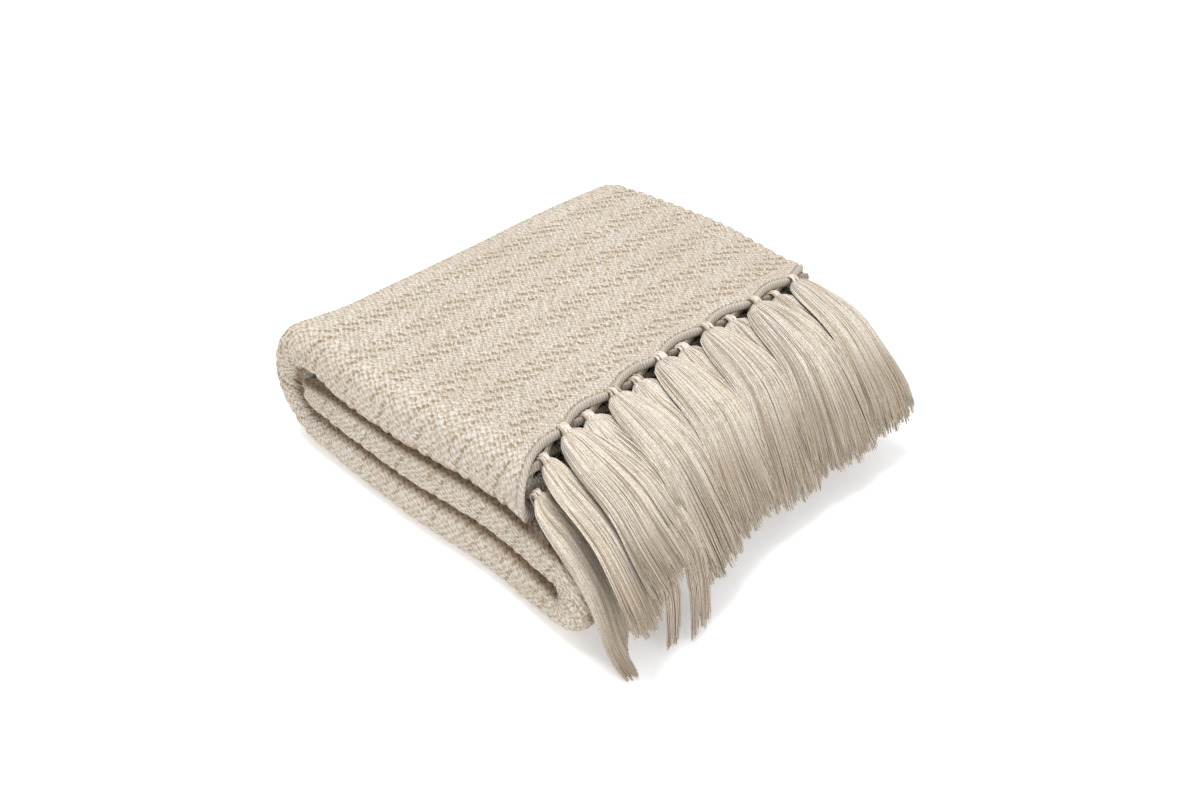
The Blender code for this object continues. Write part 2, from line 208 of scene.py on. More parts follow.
LOCK_WAVES = 1.9          # unevenness from lock to lock
STRAND_THINNING = 0.35    # towards the tip
THINNEST = 0.02           # square of the least height at a tassel's sides, as a share
CORE_THICKNESS = 2.6      # of a core yarn, beside a fine strand
CORE_SPREAD = 0.93        # of the core, as shares of the tassel's half width and height
CORE_HEIGHT = 0.55
STRAND_LAYERS = 4
LAYER_DEPTH = 0.2
LAYER_SPREAD = 0.1
SCATTER = 0.8             # of the strands across a tassel, beside their spacing
HEAD_LIFT = 0.0019        # how far the strands stand off the fall at the knot, and more at the tip
TIP_LIFT = 0.0012
PUFF_REACH = 0.16
WAVE = 0.0003             # of a strand on its way
TIP_THICKNESS = 0.0034
LOCK_GAP = 0.12           # left at both sides of a tassel's room, as a share of a lock
FRINGE_INSET = 0.012      # from the back of the stack to the last tassel's room
FIRST_LANE = 0.0205       # where the first whole tassel's room begins
LEAN = 0.020              # how far the middle tassels' tips lie towards the front
# How the tassels fall from the uppermost edge and from the lowest one, row by row
FALL = np.array((
    # upper_x, upper_z, lower_x, lower_z
    (0.2500, 0.1030, 0.2500, 0.0680),
    (0.2580, 0.1035, 0.2575, 0.0682),
    (0.2760, 0.1040, 0.2690, 0.0690),
    (0.3050, 0.0975, 0.2905, 0.0662),
    (0.3275, 0.0780, 0.3050, 0.0500),
    (0.3430, 0.0550, 0.3085, 0.0240),
    (0.3510, 0.0395, 0.3180, TIP_THICKNESS / 2),
    (0.3560, 0.0270, 0.3380, TIP_THICKNESS / 2),
))
FALL_EASING = 0.8         # how far the fall is smoothed, in rows
# The same for the locks that hang free before the stack, and how much further out the second ends
LOOSE_FALL = np.array([(x, z, x, z) for x, z in (
    (0.2500, 0.0750), (0.2650, 0.0770), (0.2950, 0.0790), (0.3200, 0.0730),
    (0.3370, 0.0600), (0.3440, 0.0400), (0.3460, 0.0200), (0.3465, 0.0020),
)])
SECOND_FURTHER = np.linspace(0, 0.009, len(FALL))[:, None] * np.array((1, 0, 1, 0))
# Where each edge's knots lie, in knot pitches, from the uppermost edge down
EDGE_PHASES = (0.0, 0.5, 0.0, 0.5, 0.5, 0.0, 0.5, 0.0)
UPPER_EDGES = 2
UPPER_LOCKS = 7
LOWER_LOCKS = 3
# The front tassel: how deep its fall lies, row by row, and the room for its tips
FRONT_DEPTHS = (0.5, 0.45, 0.45, 0.5, 0.6, 0.75, 0.9, 1.0)
FRONT_KNOT = 0.0105
FRONT_LANE = (0.0020, 0.0205)
UPPER_SHAPES = (
    # lean of the tips along Y, width as a share of the tassel's room, how much longer than its fall
    ((0.010, 1.45, -1.45), (0.015, 1.30, 0.10), (0.012, 1.30, -0.10),
     (0.006, 1.30, 0.50), (0.001, 1.35, 0.20), (0.001, 1.25, -0.20)),
    ((-0.008, 1.60, -1.00), (0.010, 1.35, -2.40), (0.012, 1.35, -1.60),
     (0.009, 1.35, -1.50), (0.003, 1.35, -1.60), (0.000, 1.30, -1.30)),
)
LOWER_LENGTHS = (
    # how much longer than its fall a tassel is, edge by edge. One without a length hangs free
    (-2.2, -1.6, -1.0, -0.9, -0.7, -0.4),
    (-2.2, -1.6, -1.2, -0.9, -0.7, -0.4),
    (-2.0, -1.4, -1.1, -0.9, -0.6, -0.4),
    (-1.6, -1.3, -1.0, -0.7, -0.5, -0.3),
    (-1.6, None, -1.0, -0.6, -0.4, -0.2),
    (None, -1.2, -0.8, -0.5, -0.3, 0.0),
)
GOLDEN_TURN = math.pi * (3 - math.sqrt(5))
CORE_TONE = 2.0           # marks the core's yarns, where a strand's tone is at most 1

# The looks of the wool
BUMP_HEIGHT = 0.0015      # of the knit
HOLE_SHADE = 0.95         # how far holes, grooves, ribs and the dip take the holes' painted shade colour
GROOVE_SHADE = 0.36
RIB_SHADE = 0.40
DIP_SHADE = 0.20
KNIT_HAIR = 0.0005        # sizes of the fibre's hairs and of its drifts of tone
KNIT_DRIFT = 0.06
YARN_HAIR = 0.0006
YARN_DRIFT = 0.035
YARN_TWIST = 0.0028       # length of one turn
YARN_BUMP = 0.0003
FLECKS_APART = (400.0, 700.0)    # how fast a yarn's flecks change from strand to strand, and along
TIPS_DARKEN = (0.060, 0.105)     # painted shade on the tips: from and to, along a strand
TIP_SHADE = 0.55
FLECK_SHADE = 0.38
# Odd strands darkened at random: partly a yarn tone of their own, partly painted shade for the dark lines
# between strands
ODD_SHADE = 0.75
# Painted shade on the core's thick yarns, deep inside the tassel
CORE_SHADE = 0.8

# The stage
STAGE_MIDDLE = (0, 0, 0.05)
FLOOR_HALF = 4.0
FLOOR_GLOW = 0.3
KEY_PLACE = (-0.25, -0.10, 1.70)
KEY_SIZE = 0.9
FILL_PLACE = (1.6, -0.35, 0.6)
FILL_SIZE = 1.2
CAMERA_PLACE = (0.505888, -0.522466, 0.563257)
CAMERA_AIM = (-0.014115, -0.006419, 0.050)
CAMERA_SHIFT = (0.00917, -0.01617)
CAMERA_START = 0.01
SENSOR_WIDTH = 36         # in millimetres, as Blender counts it


class Path:
    """A line of straight runs and arcs in a plane, measured by the distance along it."""

    def __init__(self, start, heading, legs):
        self.legs = []
        x, y = start
        for length, turn in legs:
            self.legs.append((x, y, heading, length, turn))
            x, y, heading = self.step(x, y, heading, length, turn, length)
        self.length = sum(leg[3] for leg in self.legs)
        self.starts = [sum(leg[3] for leg in self.legs[:i]) for i in range(len(self.legs))]

    @staticmethod
    def step(x, y, heading, length, turn, along):
        if turn == 0:
            return x + along * math.cos(heading), y + along * math.sin(heading), heading
        radius = length / turn
        end = heading + along / radius
        x = x + radius * (np.sin(end) - math.sin(heading))
        y = y - radius * (np.cos(end) - math.cos(heading))
        return x, y, end

    def at(self, distance, offset=0.0):
        """The points at some distances along the line, moved to its right-hand side by offset."""
        distance, offset = np.broadcast_arrays(np.asarray(distance, float), offset)
        x, y = np.empty(distance.shape), np.empty(distance.shape)
        which = np.clip(np.searchsorted(self.starts, distance, side="right") - 1, 0, None)
        for number, leg in enumerate(self.legs):
            here = which == number
            if not here.any():
                continue
            px, py, heading = self.step(*leg, distance[here] - self.starts[number])
            x[here] = px + offset[here] * np.sin(heading)
            y[here] = py - offset[here] * np.cos(heading)
        return x, y


def arc(radius, turn):
    return abs(radius * turn), turn


def straight(length):
    return length, 0


def ease(value):
    value = np.clip(value, 0.0, 1.0)
    return value * value * (3 - 2 * value)


def eased(places, values, at):
    """A value between the rows of a table, level at each row."""
    places, values = np.asarray(places), np.asarray(values)
    i = np.clip(np.searchsorted(places, at) - 1, 0, len(places) - 2)
    share = ease((at - places[i]) / (places[i + 1] - places[i]))
    return values[i] + (values[i + 1] - values[i]) * share


def smooth(places, values, at):
    """A value between the rows of a table, on one smooth line through them all."""
    slopes = np.gradient(values, places)
    i = np.clip(np.searchsorted(places, at) - 1, 0, len(places) - 2)
    gap = places[i + 1] - places[i]
    s = np.clip((at - places[i]) / gap, 0.0, 1.0)
    beyond = at - np.clip(at, places[0], places[-1])
    start = values[i] * (1 + 2 * s) * (1 - s) ** 2 + slopes[i] * gap * s * (1 - s) ** 2
    end = values[i + 1] * s * s * (3 - 2 * s) - slopes[i + 1] * gap * s * s * (1 - s)
    return start + end + beyond * np.where(beyond > 0, slopes[-1], slopes[0])


# Three folds, one inside the other: the whole band's, seen from the front, its layers', seen along
# the band, and the doubling of each layer
BAND_FOLD = Path((TOP_END_X, TOP_Z), math.pi, [
    straight(TOP_END_X - BEND_X),
    arc(BEND_RADIUS, math.pi),
    straight(TURN_X - BEND_X),
    arc(TURN_RADIUS, math.pi),
    straight(TURN_X - TONGUE_TIP_X),
])
LAYER_FOLD_Y = 1.5 * LAYER_PITCH + PLY_PITCH / 2 + PLY / 2
LAYER_BACK_Y = FOLDED_WIDTH - (LAYER_PITCH + PLY_PITCH + PLY) / 2
LAYER_FOLD = Path((FOLDED_WIDTH - OUTER_SELVEDGE_INSET, 1.5 * LAYER_PITCH), math.pi, [
    straight(FOLDED_WIDTH - OUTER_SELVEDGE_INSET - LAYER_FOLD_Y),
    arc(1.5 * LAYER_PITCH, math.pi),
    straight(LAYER_BACK_Y - LAYER_FOLD_Y),
    arc(0.5 * LAYER_PITCH, math.pi),
    straight(LAYER_BACK_Y - LAYER_FOLD_Y),
    arc(0.5 * LAYER_PITCH, -math.pi),
    straight(FOLDED_WIDTH - INNER_SELVEDGE_INSET - LAYER_FOLD_Y),
])
DOUBLING = Path((0, PLY_PITCH / 2), 0, [
    straight(BAND_FOLD.length - PLY_PITCH / 2 - PLY / 2),
    arc(PLY_PITCH / 2, -math.pi),
    straight(BAND_FOLD.length - PLY_PITCH / 2 - PLY / 2),
])


def squeeze(distance):
    """How thick the band is along its fold, as a share of the loose one."""
    bend, bottom, turn, tongue = BAND_FOLD.starts[1:]
    rows = (
        (0.0, TOP_RUN),
        (bend - SQUEEZE_EASING, TOP_RUN),
        (bend + SQUEEZE_EASING, FOLDED_END),
        (bottom - SQUEEZE_EASING, FOLDED_END),
        (bottom + SQUEEZE_EASING, BOTTOM_RUN),
        (turn - SQUEEZE_EASING, BOTTOM_RUN),
        (turn, FRINGE_FOLD),
        ((turn + tongue) / 2, FRINGE_FOLD),
        (tongue, TONGUE),
        (BAND_FOLD.length - SQUEEZE_EASING, TONGUE),
        (BAND_FOLD.length, TONGUE_TIP),
    )
    places, values = zip(*rows)
    return eased(places, values, distance) / LOOSE_BAND


def settle(x, y, z):
    """The places where the pile's own weight and the hand that laid it leave some points."""
    along = ease(x / TOP_END_X)
    up = ease((z - FOLD_LEVEL) / (EDGE_LEVEL - FOLD_LEVEL))
    across = np.clip(y, SETTLE[0, 0], SETTLE[-1, 0])
    bend, edge, fold, tips = (smooth(SETTLE[:, 0], SETTLE[:, i], across) for i in range(1, 5))
    reach = bend * (1 - along) + (fold + (edge - fold) * up) * along
    reach = reach + tips * ease((x - TIPS_START_X) / TIPS_EASING)
    bulge = BACK_BULGE * np.maximum(y / FOLDED_WIDTH, 0) ** 2
    bulge = bulge * np.sin(math.pi * np.clip(x / TOP_END_X, 0, 1))
    waist = FRONT_WAIST * ease(1 - y / FRONT_DEPTH)
    waist = waist * ease(1 - np.abs(x - WAIST_X) / (WAIST_LENGTH / 2))
    hill = np.sin(HILL_TURNS_X * x + HILL_START_X) * np.sin(HILL_TURNS_Y * y + HILL_START_Y)
    corner = ease((y - CORNER_Y) / CORNER_EASING) * ease((x - CORNER_X) / CORNER_EASING)
    risen = RISE_TO_FRINGE * np.minimum(x / TOP_END_X, RISE_LIMIT)
    taller = 1 + risen + HILL * hill - CORNER_DROOP * corner
    place = (x + reach - MIDDLE_X, y + bulge + waist - MIDDLE_Y, z * taller)
    return np.stack(np.broadcast_arrays(*place), axis=-1)


def cloth_points(lengthwise, across, offset):
    """Points of the folded cloth, at some distance from its middle face."""
    distance, doubled = DOUBLING.at(lengthwise, offset)
    y, layer = LAYER_FOLD.at(across, doubled)
    x, z = BAND_FOLD.at(distance, layer * squeeze(distance))
    return settle(x, y, z)


def scallop(across, upper_ply):
    """How far the edge draws back between two knots. The inner layers' knots lie the other way."""
    y = LAYER_FOLD.at(across)[0]
    outer = across < LAYER_FOLD.starts[3] + LAYER_FOLD.legs[3][3] / 2
    phase = np.where(outer == upper_ply, 0.0, 0.5)
    return SCALLOP_DEPTH * np.abs(np.sin(math.pi * (y / KNOT_PITCH - phase)))


def knit_relief(across, lengthwise, settings):
    """How far the cords of the herringbone stand above its middle face."""
    column = (lengthwise - KNIT_START) / COLUMN
    number = np.floor(column)
    weak = np.mod(number, 2)
    climbed = (1 - 2 * weak) * (column - number) * GROOVES_CROSSED
    turns = across / GROOVE_PITCH - climbed + 0.5 * weak
    groove = (0.5 - 0.5 * np.cos(2 * math.pi * turns)) ** 2
    depth = (1 - (1 - WEAK_RELIEF) * weak) * (column > 0)
    return settings.groove_depth * (CORD_RISE - depth * groove)


def swell(across, lengthwise):
    """Soft unevenness of the outermost ply, as hands and its own weight leave it."""
    one, other = (np.sin(x * across + y * lengthwise + start) for x, y, start in SWELL_WAVES)
    return SWELL * one * other


def front_turn(across):
    """How far round the folded front a place of the cloth lies, from 0 to 1."""
    return np.clip((across - LAYER_FOLD.starts[1]) / LAYER_FOLD.legs[1][3], 0, 1)


def front_fullness(across, lengthwise):
    """How far the folded front of a band bellies out towards the bands above and below it."""
    _, bend, bottom, turn, tongue = BAND_FOLD.starts
    above = eased((0, bottom, bottom + SQUEEZE_EASING, turn, tongue, BEYOND),
                  (0, 0, FLOOR_FULLNESS, FLOOR_FULLNESS, 1, 1), lengthwise)
    below = eased((0, SQUEEZE_EASING, bend - SQUEEZE_EASING, bend, bottom, bottom + SQUEEZE_EASING,
                   BEYOND), (EDGE_FULLNESS, 1, 1, 0, 0, 1, 1), lengthwise)
    turned = front_turn(across)
    share = np.where(turned < 0.5, above, below) * (lengthwise < DOUBLING.length / 2)
    angle = math.pi * turned
    square = np.abs(np.cos(angle)) ** FRONT_SQUARENESS + np.abs(np.sin(angle)) ** FRONT_SQUARENESS
    return LAYER_FOLD_Y * share * (square ** (-1 / FRONT_SQUARENESS) - 1)


def painted_crease_shade(across, lengthwise):
    """How much shade is painted on the cloth deep in a crease between two bands, from 0 to 1."""
    turned = front_turn(across)
    turn, tongue = BAND_FOLD.starts[3:]
    above = eased((0, turn, tongue, BEYOND), (0, 0, 1, 1), lengthwise)
    above = above * np.exp(-((turned - CREASE_ABOVE) / CREASE_REACH) ** 2)
    below = np.exp(-((turned - CREASE_BELOW) / CREASE_REACH) ** 2)
    return (above + below) * (lengthwise < DOUBLING.length / 2)


def rolled_edge(edge_distance, settings):
    """The height of the bead along the tasselled edge, and of the plain hem beside it."""
    share = (edge_distance - EDGE_WIDTH / 2) / (EDGE_WIDTH / 2)
    bead = np.sqrt(np.clip(1 - share * share, 0, 1))
    hem = ease((edge_distance - EDGE_WIDTH) / HEM_START) * ease((HEM_WIDTH - edge_distance) / HEM_END)
    dip = np.exp(-((edge_distance - EDGE_WIDTH) / DIP_REACH) ** 2)
    return settings.bead_height * (bead + HEM_RISE * hem - DIP * dip)


class Cloth:
    """The vertices and faces of a sheet, laid row by row."""

    def __init__(self):
        self.points = []
        self.places = []
        self.edges = []
        self.painted_shades = []
        self.faces = []
        self.count = 0

    def lay(self, stations, points, across, lengthwise, edge_distance, painted_shade=0.0):
        """Lay one row and return its stations with the numbers of its vertices."""
        size = len(stations)
        self.points.append(points)
        self.places.append(np.stack(np.broadcast_arrays(across, lengthwise), axis=-1))
        self.edges.append(np.broadcast_to(edge_distance, (size,)))
        self.painted_shades.append(np.broadcast_to(painted_shade, (size,)))
        self.count += size
        return np.asarray(stations), np.arange(self.count - size, self.count)

    def join(self, low, high):
        """Faces between two rows. One row's stations may be a few of the other's."""
        (low_stations, low_verts), (high_stations, high_verts) = low, high
        if len(low_stations) == len(high_stations):
            quads = (low_verts[:-1], low_verts[1:], high_verts[1:], high_verts[:-1])
            self.faces += np.stack(quads, axis=1).tolist()
            return
        if len(low_stations) > len(high_stations):
            self.join(high, low)
            return
        marks = np.searchsorted(high_stations, low_stations)
        for i in range(len(low_verts) - 1):
            corners = [int(low_verts[i + 1]), int(low_verts[i])]
            corners += high_verts[marks[i]:marks[i + 1] + 1].tolist()
            self.faces.append(list(dict.fromkeys(corners)))


def across_stations():
    """Distances across the flat cloth, and the rank of each: 0 in fine rows, 2 in all rows."""
    legs, starts = LAYER_FOLD.legs, LAYER_FOLD.starts
    count = round((starts[2] + FINE_MARGIN) / FINE_ACROSS)
    distances = [i * FINE_ACROSS for i in range(count + 1)]
    ranks = []
    for i, distance in enumerate(distances):
        if distance > starts[1] - FINE_MARGIN:
            ranks.append(2 if i % FOLD_STEP == 0 or i == count else 1)
        else:
            ranks.append(2 if i % FLAT_STEP == 0 else 0)
    back_start, back_end = starts[3] - FINE_MARGIN, starts[4] + FINE_MARGIN
    for leg, low, high in ((2, distances[-1], back_start), (4, back_end, starts[5]),
                           (6, starts[6], LAYER_FOLD.length)):
        sign = math.cos(legs[leg][2])
        marks = [(starts[leg] + (mark * HIDDEN_PART - legs[leg][0]) * sign, mark)
                 for mark in range(round(FOLDED_WIDTH / HIDDEN_PART))]
        for distance, mark in sorted(marks):
            if low + HIDDEN_PART / 3 < distance < high - HIDDEN_PART / 3:
                distances.append(distance)
                ranks.append(2 if mark % 4 == 0 else 1 if mark % 2 == 0 else 0)
        if leg == 2:
            steps = range(BACK_FOLD_STEPS + 1)
            distances += [back_start + (back_end - back_start) * i / BACK_FOLD_STEPS for i in steps]
            ranks += [2 if i % FOLD_STEP == 0 else 1 for i in steps]
        elif leg == 4:
            steps = range(INNER_FOLD_STEPS + 1)
            distances += [starts[5] + legs[5][3] * i / INNER_FOLD_STEPS for i in steps]
            ranks += [2 for _ in steps]
    distances.append(LAYER_FOLD.length)
    ranks.append(2)
    return np.array(distances), np.array(ranks)


def lengthwise_stations():
    """Distances along the flat cloth between its two edges, with each row's rank, and whether the
    row is on both faces."""
    bend_end = BAND_FOLD.starts[2]
    half = DOUBLING.legs[0][3]
    start = SCALLOP_FADE
    count = round((bend_end - start) / FINE_LENGTHWISE)
    rows = [(start + (bend_end - start) * i / count, 0, i % SHARED_STEP == 0) for i in range(count)]
    count = 4 * round((half - bend_end) / (8 * FINE_LENGTHWISE))
    rows += [(bend_end + (half - bend_end) * i / count, 1, i % 4 == 0) for i in range(count)]
    turn = DOUBLING.legs[1][3]
    rows += [(half + turn * i / DOUBLING_STEPS, 1, True) for i in range(DOUBLING_STEPS)]
    marks = [half + turn]
    for leg, steps in INNER_PLY_STEPS:
        begin = BAND_FOLD.starts[leg]
        length = min(BAND_FOLD.legs[leg][3], half - begin)
        marks += [DOUBLING.length - begin - length * (steps - i) / steps for i in range(1, steps + 1)]
    last = DOUBLING.length - SCALLOP_FADE
    rows += [(mark, 2, True) for mark in marks if mark < last - INNER_PLY_END]
    rows.append((last, 2, True))
    return rows


class ClothFace:
    """One face of the folded cloth, laid row by row from one tasselled edge to the other."""

    def __init__(self, cloth, outermost, settings):
        self.cloth = cloth
        self.outermost = outermost
        self.settings = settings
        self.across, self.ranks = across_stations()
        self.rows = []
        for upper_ply in (True, False):
            marks = EDGE_ROWS if outermost == upper_ply else HIDDEN_EDGE_ROWS
            if upper_ply:
                self.lay_edge(marks, upper_ply)
            else:
                self.lay_middle()
                self.lay_edge(marks[::-1], upper_ply)
        for (_, low), (_, high) in zip(self.rows, self.rows[1:]):
            cloth.join(low, high)

    def lay(self, lengthwise, rank, edge_distance, station, upper_ply):
        """Lay one row of the cloth, with its relief, and note the row's station."""
        chosen = np.flatnonzero(self.ranks >= rank)
        across = self.across[chosen]
        knitted = ease((edge_distance - EDGE_WIDTH) / KNIT_EASING)
        height = PLY / 2 + rolled_edge(edge_distance, self.settings)
        height = height + knitted * knit_relief(across, lengthwise, self.settings)
        painted_shade = 0.0
        if self.outermost:
            height = height + knitted * swell(across, lengthwise)
            height = height + front_fullness(across, lengthwise)
            # Painted shade deep in the creases between the bands
            painted_shade = painted_crease_shade(across, lengthwise)
        # Painted shade on the lower ply where the upper ply's edge hangs over it
        if not upper_ply:
            painted_shade = painted_shade + UNDER_EDGE * ease(1 - edge_distance / SCALLOP_FADE)
        points = cloth_points(lengthwise, across, -height if self.outermost else height)
        points[:, 2] = np.maximum(points[:, 2], 0.0)
        self.rows.append((station, self.cloth.lay(chosen, points, across, lengthwise, edge_distance,
                                                  painted_shade)))

    def lay_edge(self, marks, upper_ply):
        """The rows beside one tasselled edge, which follow its scallops."""
        for mark in marks:
            inset = mark + scallop(self.across, upper_ply) * (1 - ease(mark / SCALLOP_FADE))
            order = EDGE_ROWS.index(mark)
            if upper_ply:
                self.lay(inset, 0, mark, order, upper_ply)
            else:
                self.lay(DOUBLING.length - inset, 0, mark, LAST_STATION - order, upper_ply)

    def lay_middle(self):
        """The straight rows between the two edges."""
        for number, (distance, rank, shared) in enumerate(lengthwise_stations()):
            if self.outermost or shared:
                self.lay(np.array(distance), rank, 1.0, MIDDLE_STATION + number, False)


def panel_mesh(settings):
    """The knitted panel, folded, as one closed sheet."""
    cloth = Cloth()
    outer = ClothFace(cloth, True, settings)
    inner = ClothFace(cloth, False, settings)
    close_lips(cloth, outer.rows, inner.rows, outer.across)
    return cloth


def close_lips(cloth, outer, inner, across):
    """Round lips between the two faces, along the tasselled edges and the selvedges."""
    for end, upper_ply in ((0, True), (-1, False)):
        inset = scallop(across, upper_ply) - LIP
        distance = inset if upper_ply else DOUBLING.length - inset
        points = cloth_points(distance, across, 0.0)
        lip = cloth.lay(np.arange(len(across)), points, across, distance, 0.0)
        cloth.join(outer[end][1], lip)
        cloth.join(lip, inner[end][1])
        outer.insert(0 if upper_ply else len(outer), (-1 if upper_ply else LAST_STATION + 1, lip))
    for end in (0, -1):
        selvedges = []
        for rows in (outer, [outer[0]] + inner + [outer[-1]]):
            stations = np.array([station for station, _ in rows])
            selvedges.append((stations, np.array([vertices[end] for _, (_, vertices) in rows])))
        cloth.join(*selvedges)


def fall_points(station, depth, fall=FALL):
    """Points of the tassels' fall: station counts the table's rows, depth runs from 0 to 1."""
    rows = np.arange(len(fall), dtype=float)
    window = np.clip(station, 0.0, FALL_EASING)
    line = 0.0
    for part in (-1, -0.5, 0, 0.5, 1):
        line = line + np.stack([smooth(rows, fall[:, i], station + part * window) for i in range(4)])
    upper_x, upper_z, lower_x, lower_z = line / 5
    return upper_x + (lower_x - upper_x) * depth, upper_z + (lower_z - upper_z) * depth


def leaning(y):
    return y - LEAN * math.sin(math.pi * min(max(y / FOLDED_WIDTH, 0), 1))


def spun(number, seed):
    """An even scatter of numbers from 0 to 1, always the same one for a seed."""
    return np.random.default_rng(seed).random(number)


def tubes(paths, up, radius, sides):
    """Round yarns along some paths: their points, and their faces with closed ends."""
    count, steps, _ = paths.shape
    ahead = np.gradient(paths, axis=1)
    ahead /= np.linalg.norm(ahead, axis=2, keepdims=True)
    across = np.cross(ahead, up)
    across /= np.linalg.norm(across, axis=2, keepdims=True)
    out = np.cross(across, ahead)
    angle = 2 * math.pi * np.arange(sides) / sides
    ring = np.cos(angle)[:, None] * across[:, :, None, :] + np.sin(angle)[:, None] * out[:, :, None, :]
    points = paths[:, :, None, :] + radius[:, :, None, None] * ring
    start = (np.arange(count) * steps * sides)[:, None, None]
    low = start + (np.arange(steps - 1) * sides)[None, :, None]
    corner = np.arange(sides)[None, None, :]
    beside = (corner + 1) % sides
    quads = np.stack([low + corner, low + beside, low + sides + beside, low + sides + corner], axis=-1)
    faces = quads.reshape(-1, 4).tolist()
    first = start[:, 0] + np.arange(sides)[::-1]
    last = start[:, 0] + (steps - 1) * sides + np.arange(sides)
    faces += first.tolist() + last.tolist()
    return points.reshape(-1, 3), faces


def strand_lengths(shape, share, seed):
    """How much of the tassel's fall each strand has."""
    length = 1 - shape["ragged"] * spun(len(share), seed + 1) ** 2
    length = length - shape["uneven"] * (0.5 - 0.5 * np.sin(share * shape["locks"] * LOCK_WAVES + seed))
    length = length * (1 - shape["shorter"] * ease((share - SHORTER_FROM) / SHORTER_OVER))
    return length * (1 - shape["lobed"] * share ** 4)


def strand_spread(knot, lane, shape, share, s, seed):
    """Where the strands lie across the stack, fanned out from the knot and parted into locks."""
    centre = (lane[0] + lane[1]) / 2 + shape["lean"]
    half_tip = (lane[1] - lane[0]) / 2 * shape["width"]
    half_head = HEAD_WIDTH / 2 * shape["head"]
    half = half_head + (half_tip - half_head) * s ** shape["fan"] * (1 - shape["taper"] * s ** 3)
    turns = share * shape["locks"] / 2 + spun(1, seed + 6)
    parting = shape["parted"] * s ** 4 * np.sin(2 * math.pi * turns)[:, None]
    middle = knot + (centre - knot) * s ** TIP_GATHERING
    return middle + (share[:, None] - parting / (math.pi * shape["locks"])) * half


def strand_paths(knot, depth_rows, lane, shape, share, level, seed, steps):
    """The paths of a tassel's strands, fanned out from its knot, before the pile settles."""
    s = np.linspace(0, 1, steps)[None, :]
    start = shape["start"] + STRAND_START
    end = len(FALL) - 1
    station = start + s * (end - start + shape["longer"]) * strand_lengths(shape, share, seed)[:, None]
    depth = smooth(np.arange(end + 1.0), np.asarray(depth_rows, float), np.clip(station, 0, end))
    phase = spun(len(share), seed + 2)[:, None] * 2 * math.pi
    y = strand_spread(knot, lane, shape, share, s, seed) + WAVE * np.sin(5 * s + phase) * s
    puff = HEAD_LIFT + shape["puff"] * np.exp(-((s - shape["puff_at"]) / PUFF_REACH) ** 2) + TIP_LIFT * s
    lift = level[:, None] * puff * np.sqrt(np.clip(1 - share[:, None] ** 2, THINNEST, 1))
    lift = lift + WAVE * np.sin(9 * s + 1.7 * phase)
    x, z = fall_points(station, depth, shape["fall"])
    near_x, near_z = fall_points(station + 0.05, depth, shape["fall"])
    tilt = np.arctan2(near_z - z, near_x - x)
    normal = (-np.sin(tilt), np.cos(tilt))
    x = x + (x[:, :1] + (x[:, -1:] - x[:, :1]) * s - x) * shape["flat"]
    z = z + (z[:, :1] + (z[:, -1:] - z[:, :1]) * s - z) * shape["flat"]
    return x + normal[0] * lift, y, z + normal[1] * lift, normal


def core_places(count):
    """Where the core's thick yarns lie in a tassel: across it, and above its middle."""
    index = np.arange(count) + 0.5
    reach = np.sqrt(index / count)
    angle = index * GOLDEN_TURN
    return CORE_SPREAD * np.cos(angle) * reach, CORE_HEIGHT * np.sin(angle) * reach


def strand_places(count, seed):
    """Where the fine strands lie on a tassel: across it, and in which layer."""
    index = np.arange(count)
    share = 2 * (index + 0.5 + SCATTER * (spun(count, seed + 8) - 0.5)) / count - 1
    level = 1.0 - LAYER_DEPTH * np.mod(index, STRAND_LAYERS) + LAYER_SPREAD * spun(count, seed + 7)
    return share, level


def strands(knot, depth_rows, lane, shape, count, radius, sides, steps, seed, inner):
    """The yarns of a tassel. The inner ones are its thick core and the others lie on that."""
    share, level = core_places(count) if inner else strand_places(count, seed)
    x, y, z, normal = strand_paths(knot, depth_rows, lane, shape, share, level, seed, steps)
    z = np.maximum(z, radius * 1.02)
    up = np.stack(np.broadcast_arrays(normal[0], 0.0, normal[1]), axis=-1)
    paths = settle(x, y, z)
    thinned = 1 - STRAND_THINNING * np.linspace(0, 1, steps)[None, :] ** 6
    least, most = STRAND_WIDTHS
    widths = radius * thinned * (least + (most - least) * spun(count, seed + 3)[:, None])
    points, faces = tubes(paths, up, widths, sides)
    tone = np.full(count, CORE_TONE) if inner else spun(count, seed + 4)
    tone = np.repeat(tone, steps * sides)
    run = np.linalg.norm(np.diff(paths, axis=1), axis=2).cumsum(axis=1)
    run = np.concatenate([np.zeros((count, 1)), run], axis=1)
    return points, faces, np.stack([tone, np.repeat(run.ravel(), sides)], axis=1)


def knot_loops(knot, depth, start, phase_seed, steps, sides):
    """The yarn wrapped round the edge at a knot."""
    x, z = fall_points(np.array(start), depth)
    upper = depth < UPPER_DEPTH
    turn = np.linspace(0, 2 * math.pi, steps + 1)[None, :]
    number = np.arange(KNOT_LOOPS)[:, None] - (KNOT_LOOPS - 1) / 2
    lump = 1 + LOOP_UNEVENNESS * np.sin(2.3 * number + phase_seed) + LOOP_LUMPS * np.sin(2 * turn + number)
    lump = lump * (1.0 if upper else LOWER_KNOT) * (1 - OUTER_LOOPS * (number / number.max()) ** 2)
    slant = LOOP_SLANT * np.sin(phase_seed + number * 2) * np.cos(turn)
    paths = settle(x - KNOT_BACK + KNOT_LENGTH * lump * np.cos(turn), knot + number * LOOP_PITCH + slant,
                   z + KNOT_RISE + KNOT_HEIGHT * lump * np.sin(turn))
    up = np.broadcast_to(np.array([0.0, 1.0, 0.0]), paths.shape)
    widths = np.full(paths.shape[:2], LOOP_RADIUS if upper else LOWER_LOOP_RADIUS)
    points, faces = tubes(paths, up, widths, sides)
    tone = np.repeat(spun(KNOT_LOOPS, int(phase_seed * 100)), (steps + 1) * sides)
    run = np.tile(np.repeat(turn.ravel() * LOOP_REACH, sides), KNOT_LOOPS)
    return points, faces, np.stack([tone, run], axis=1)


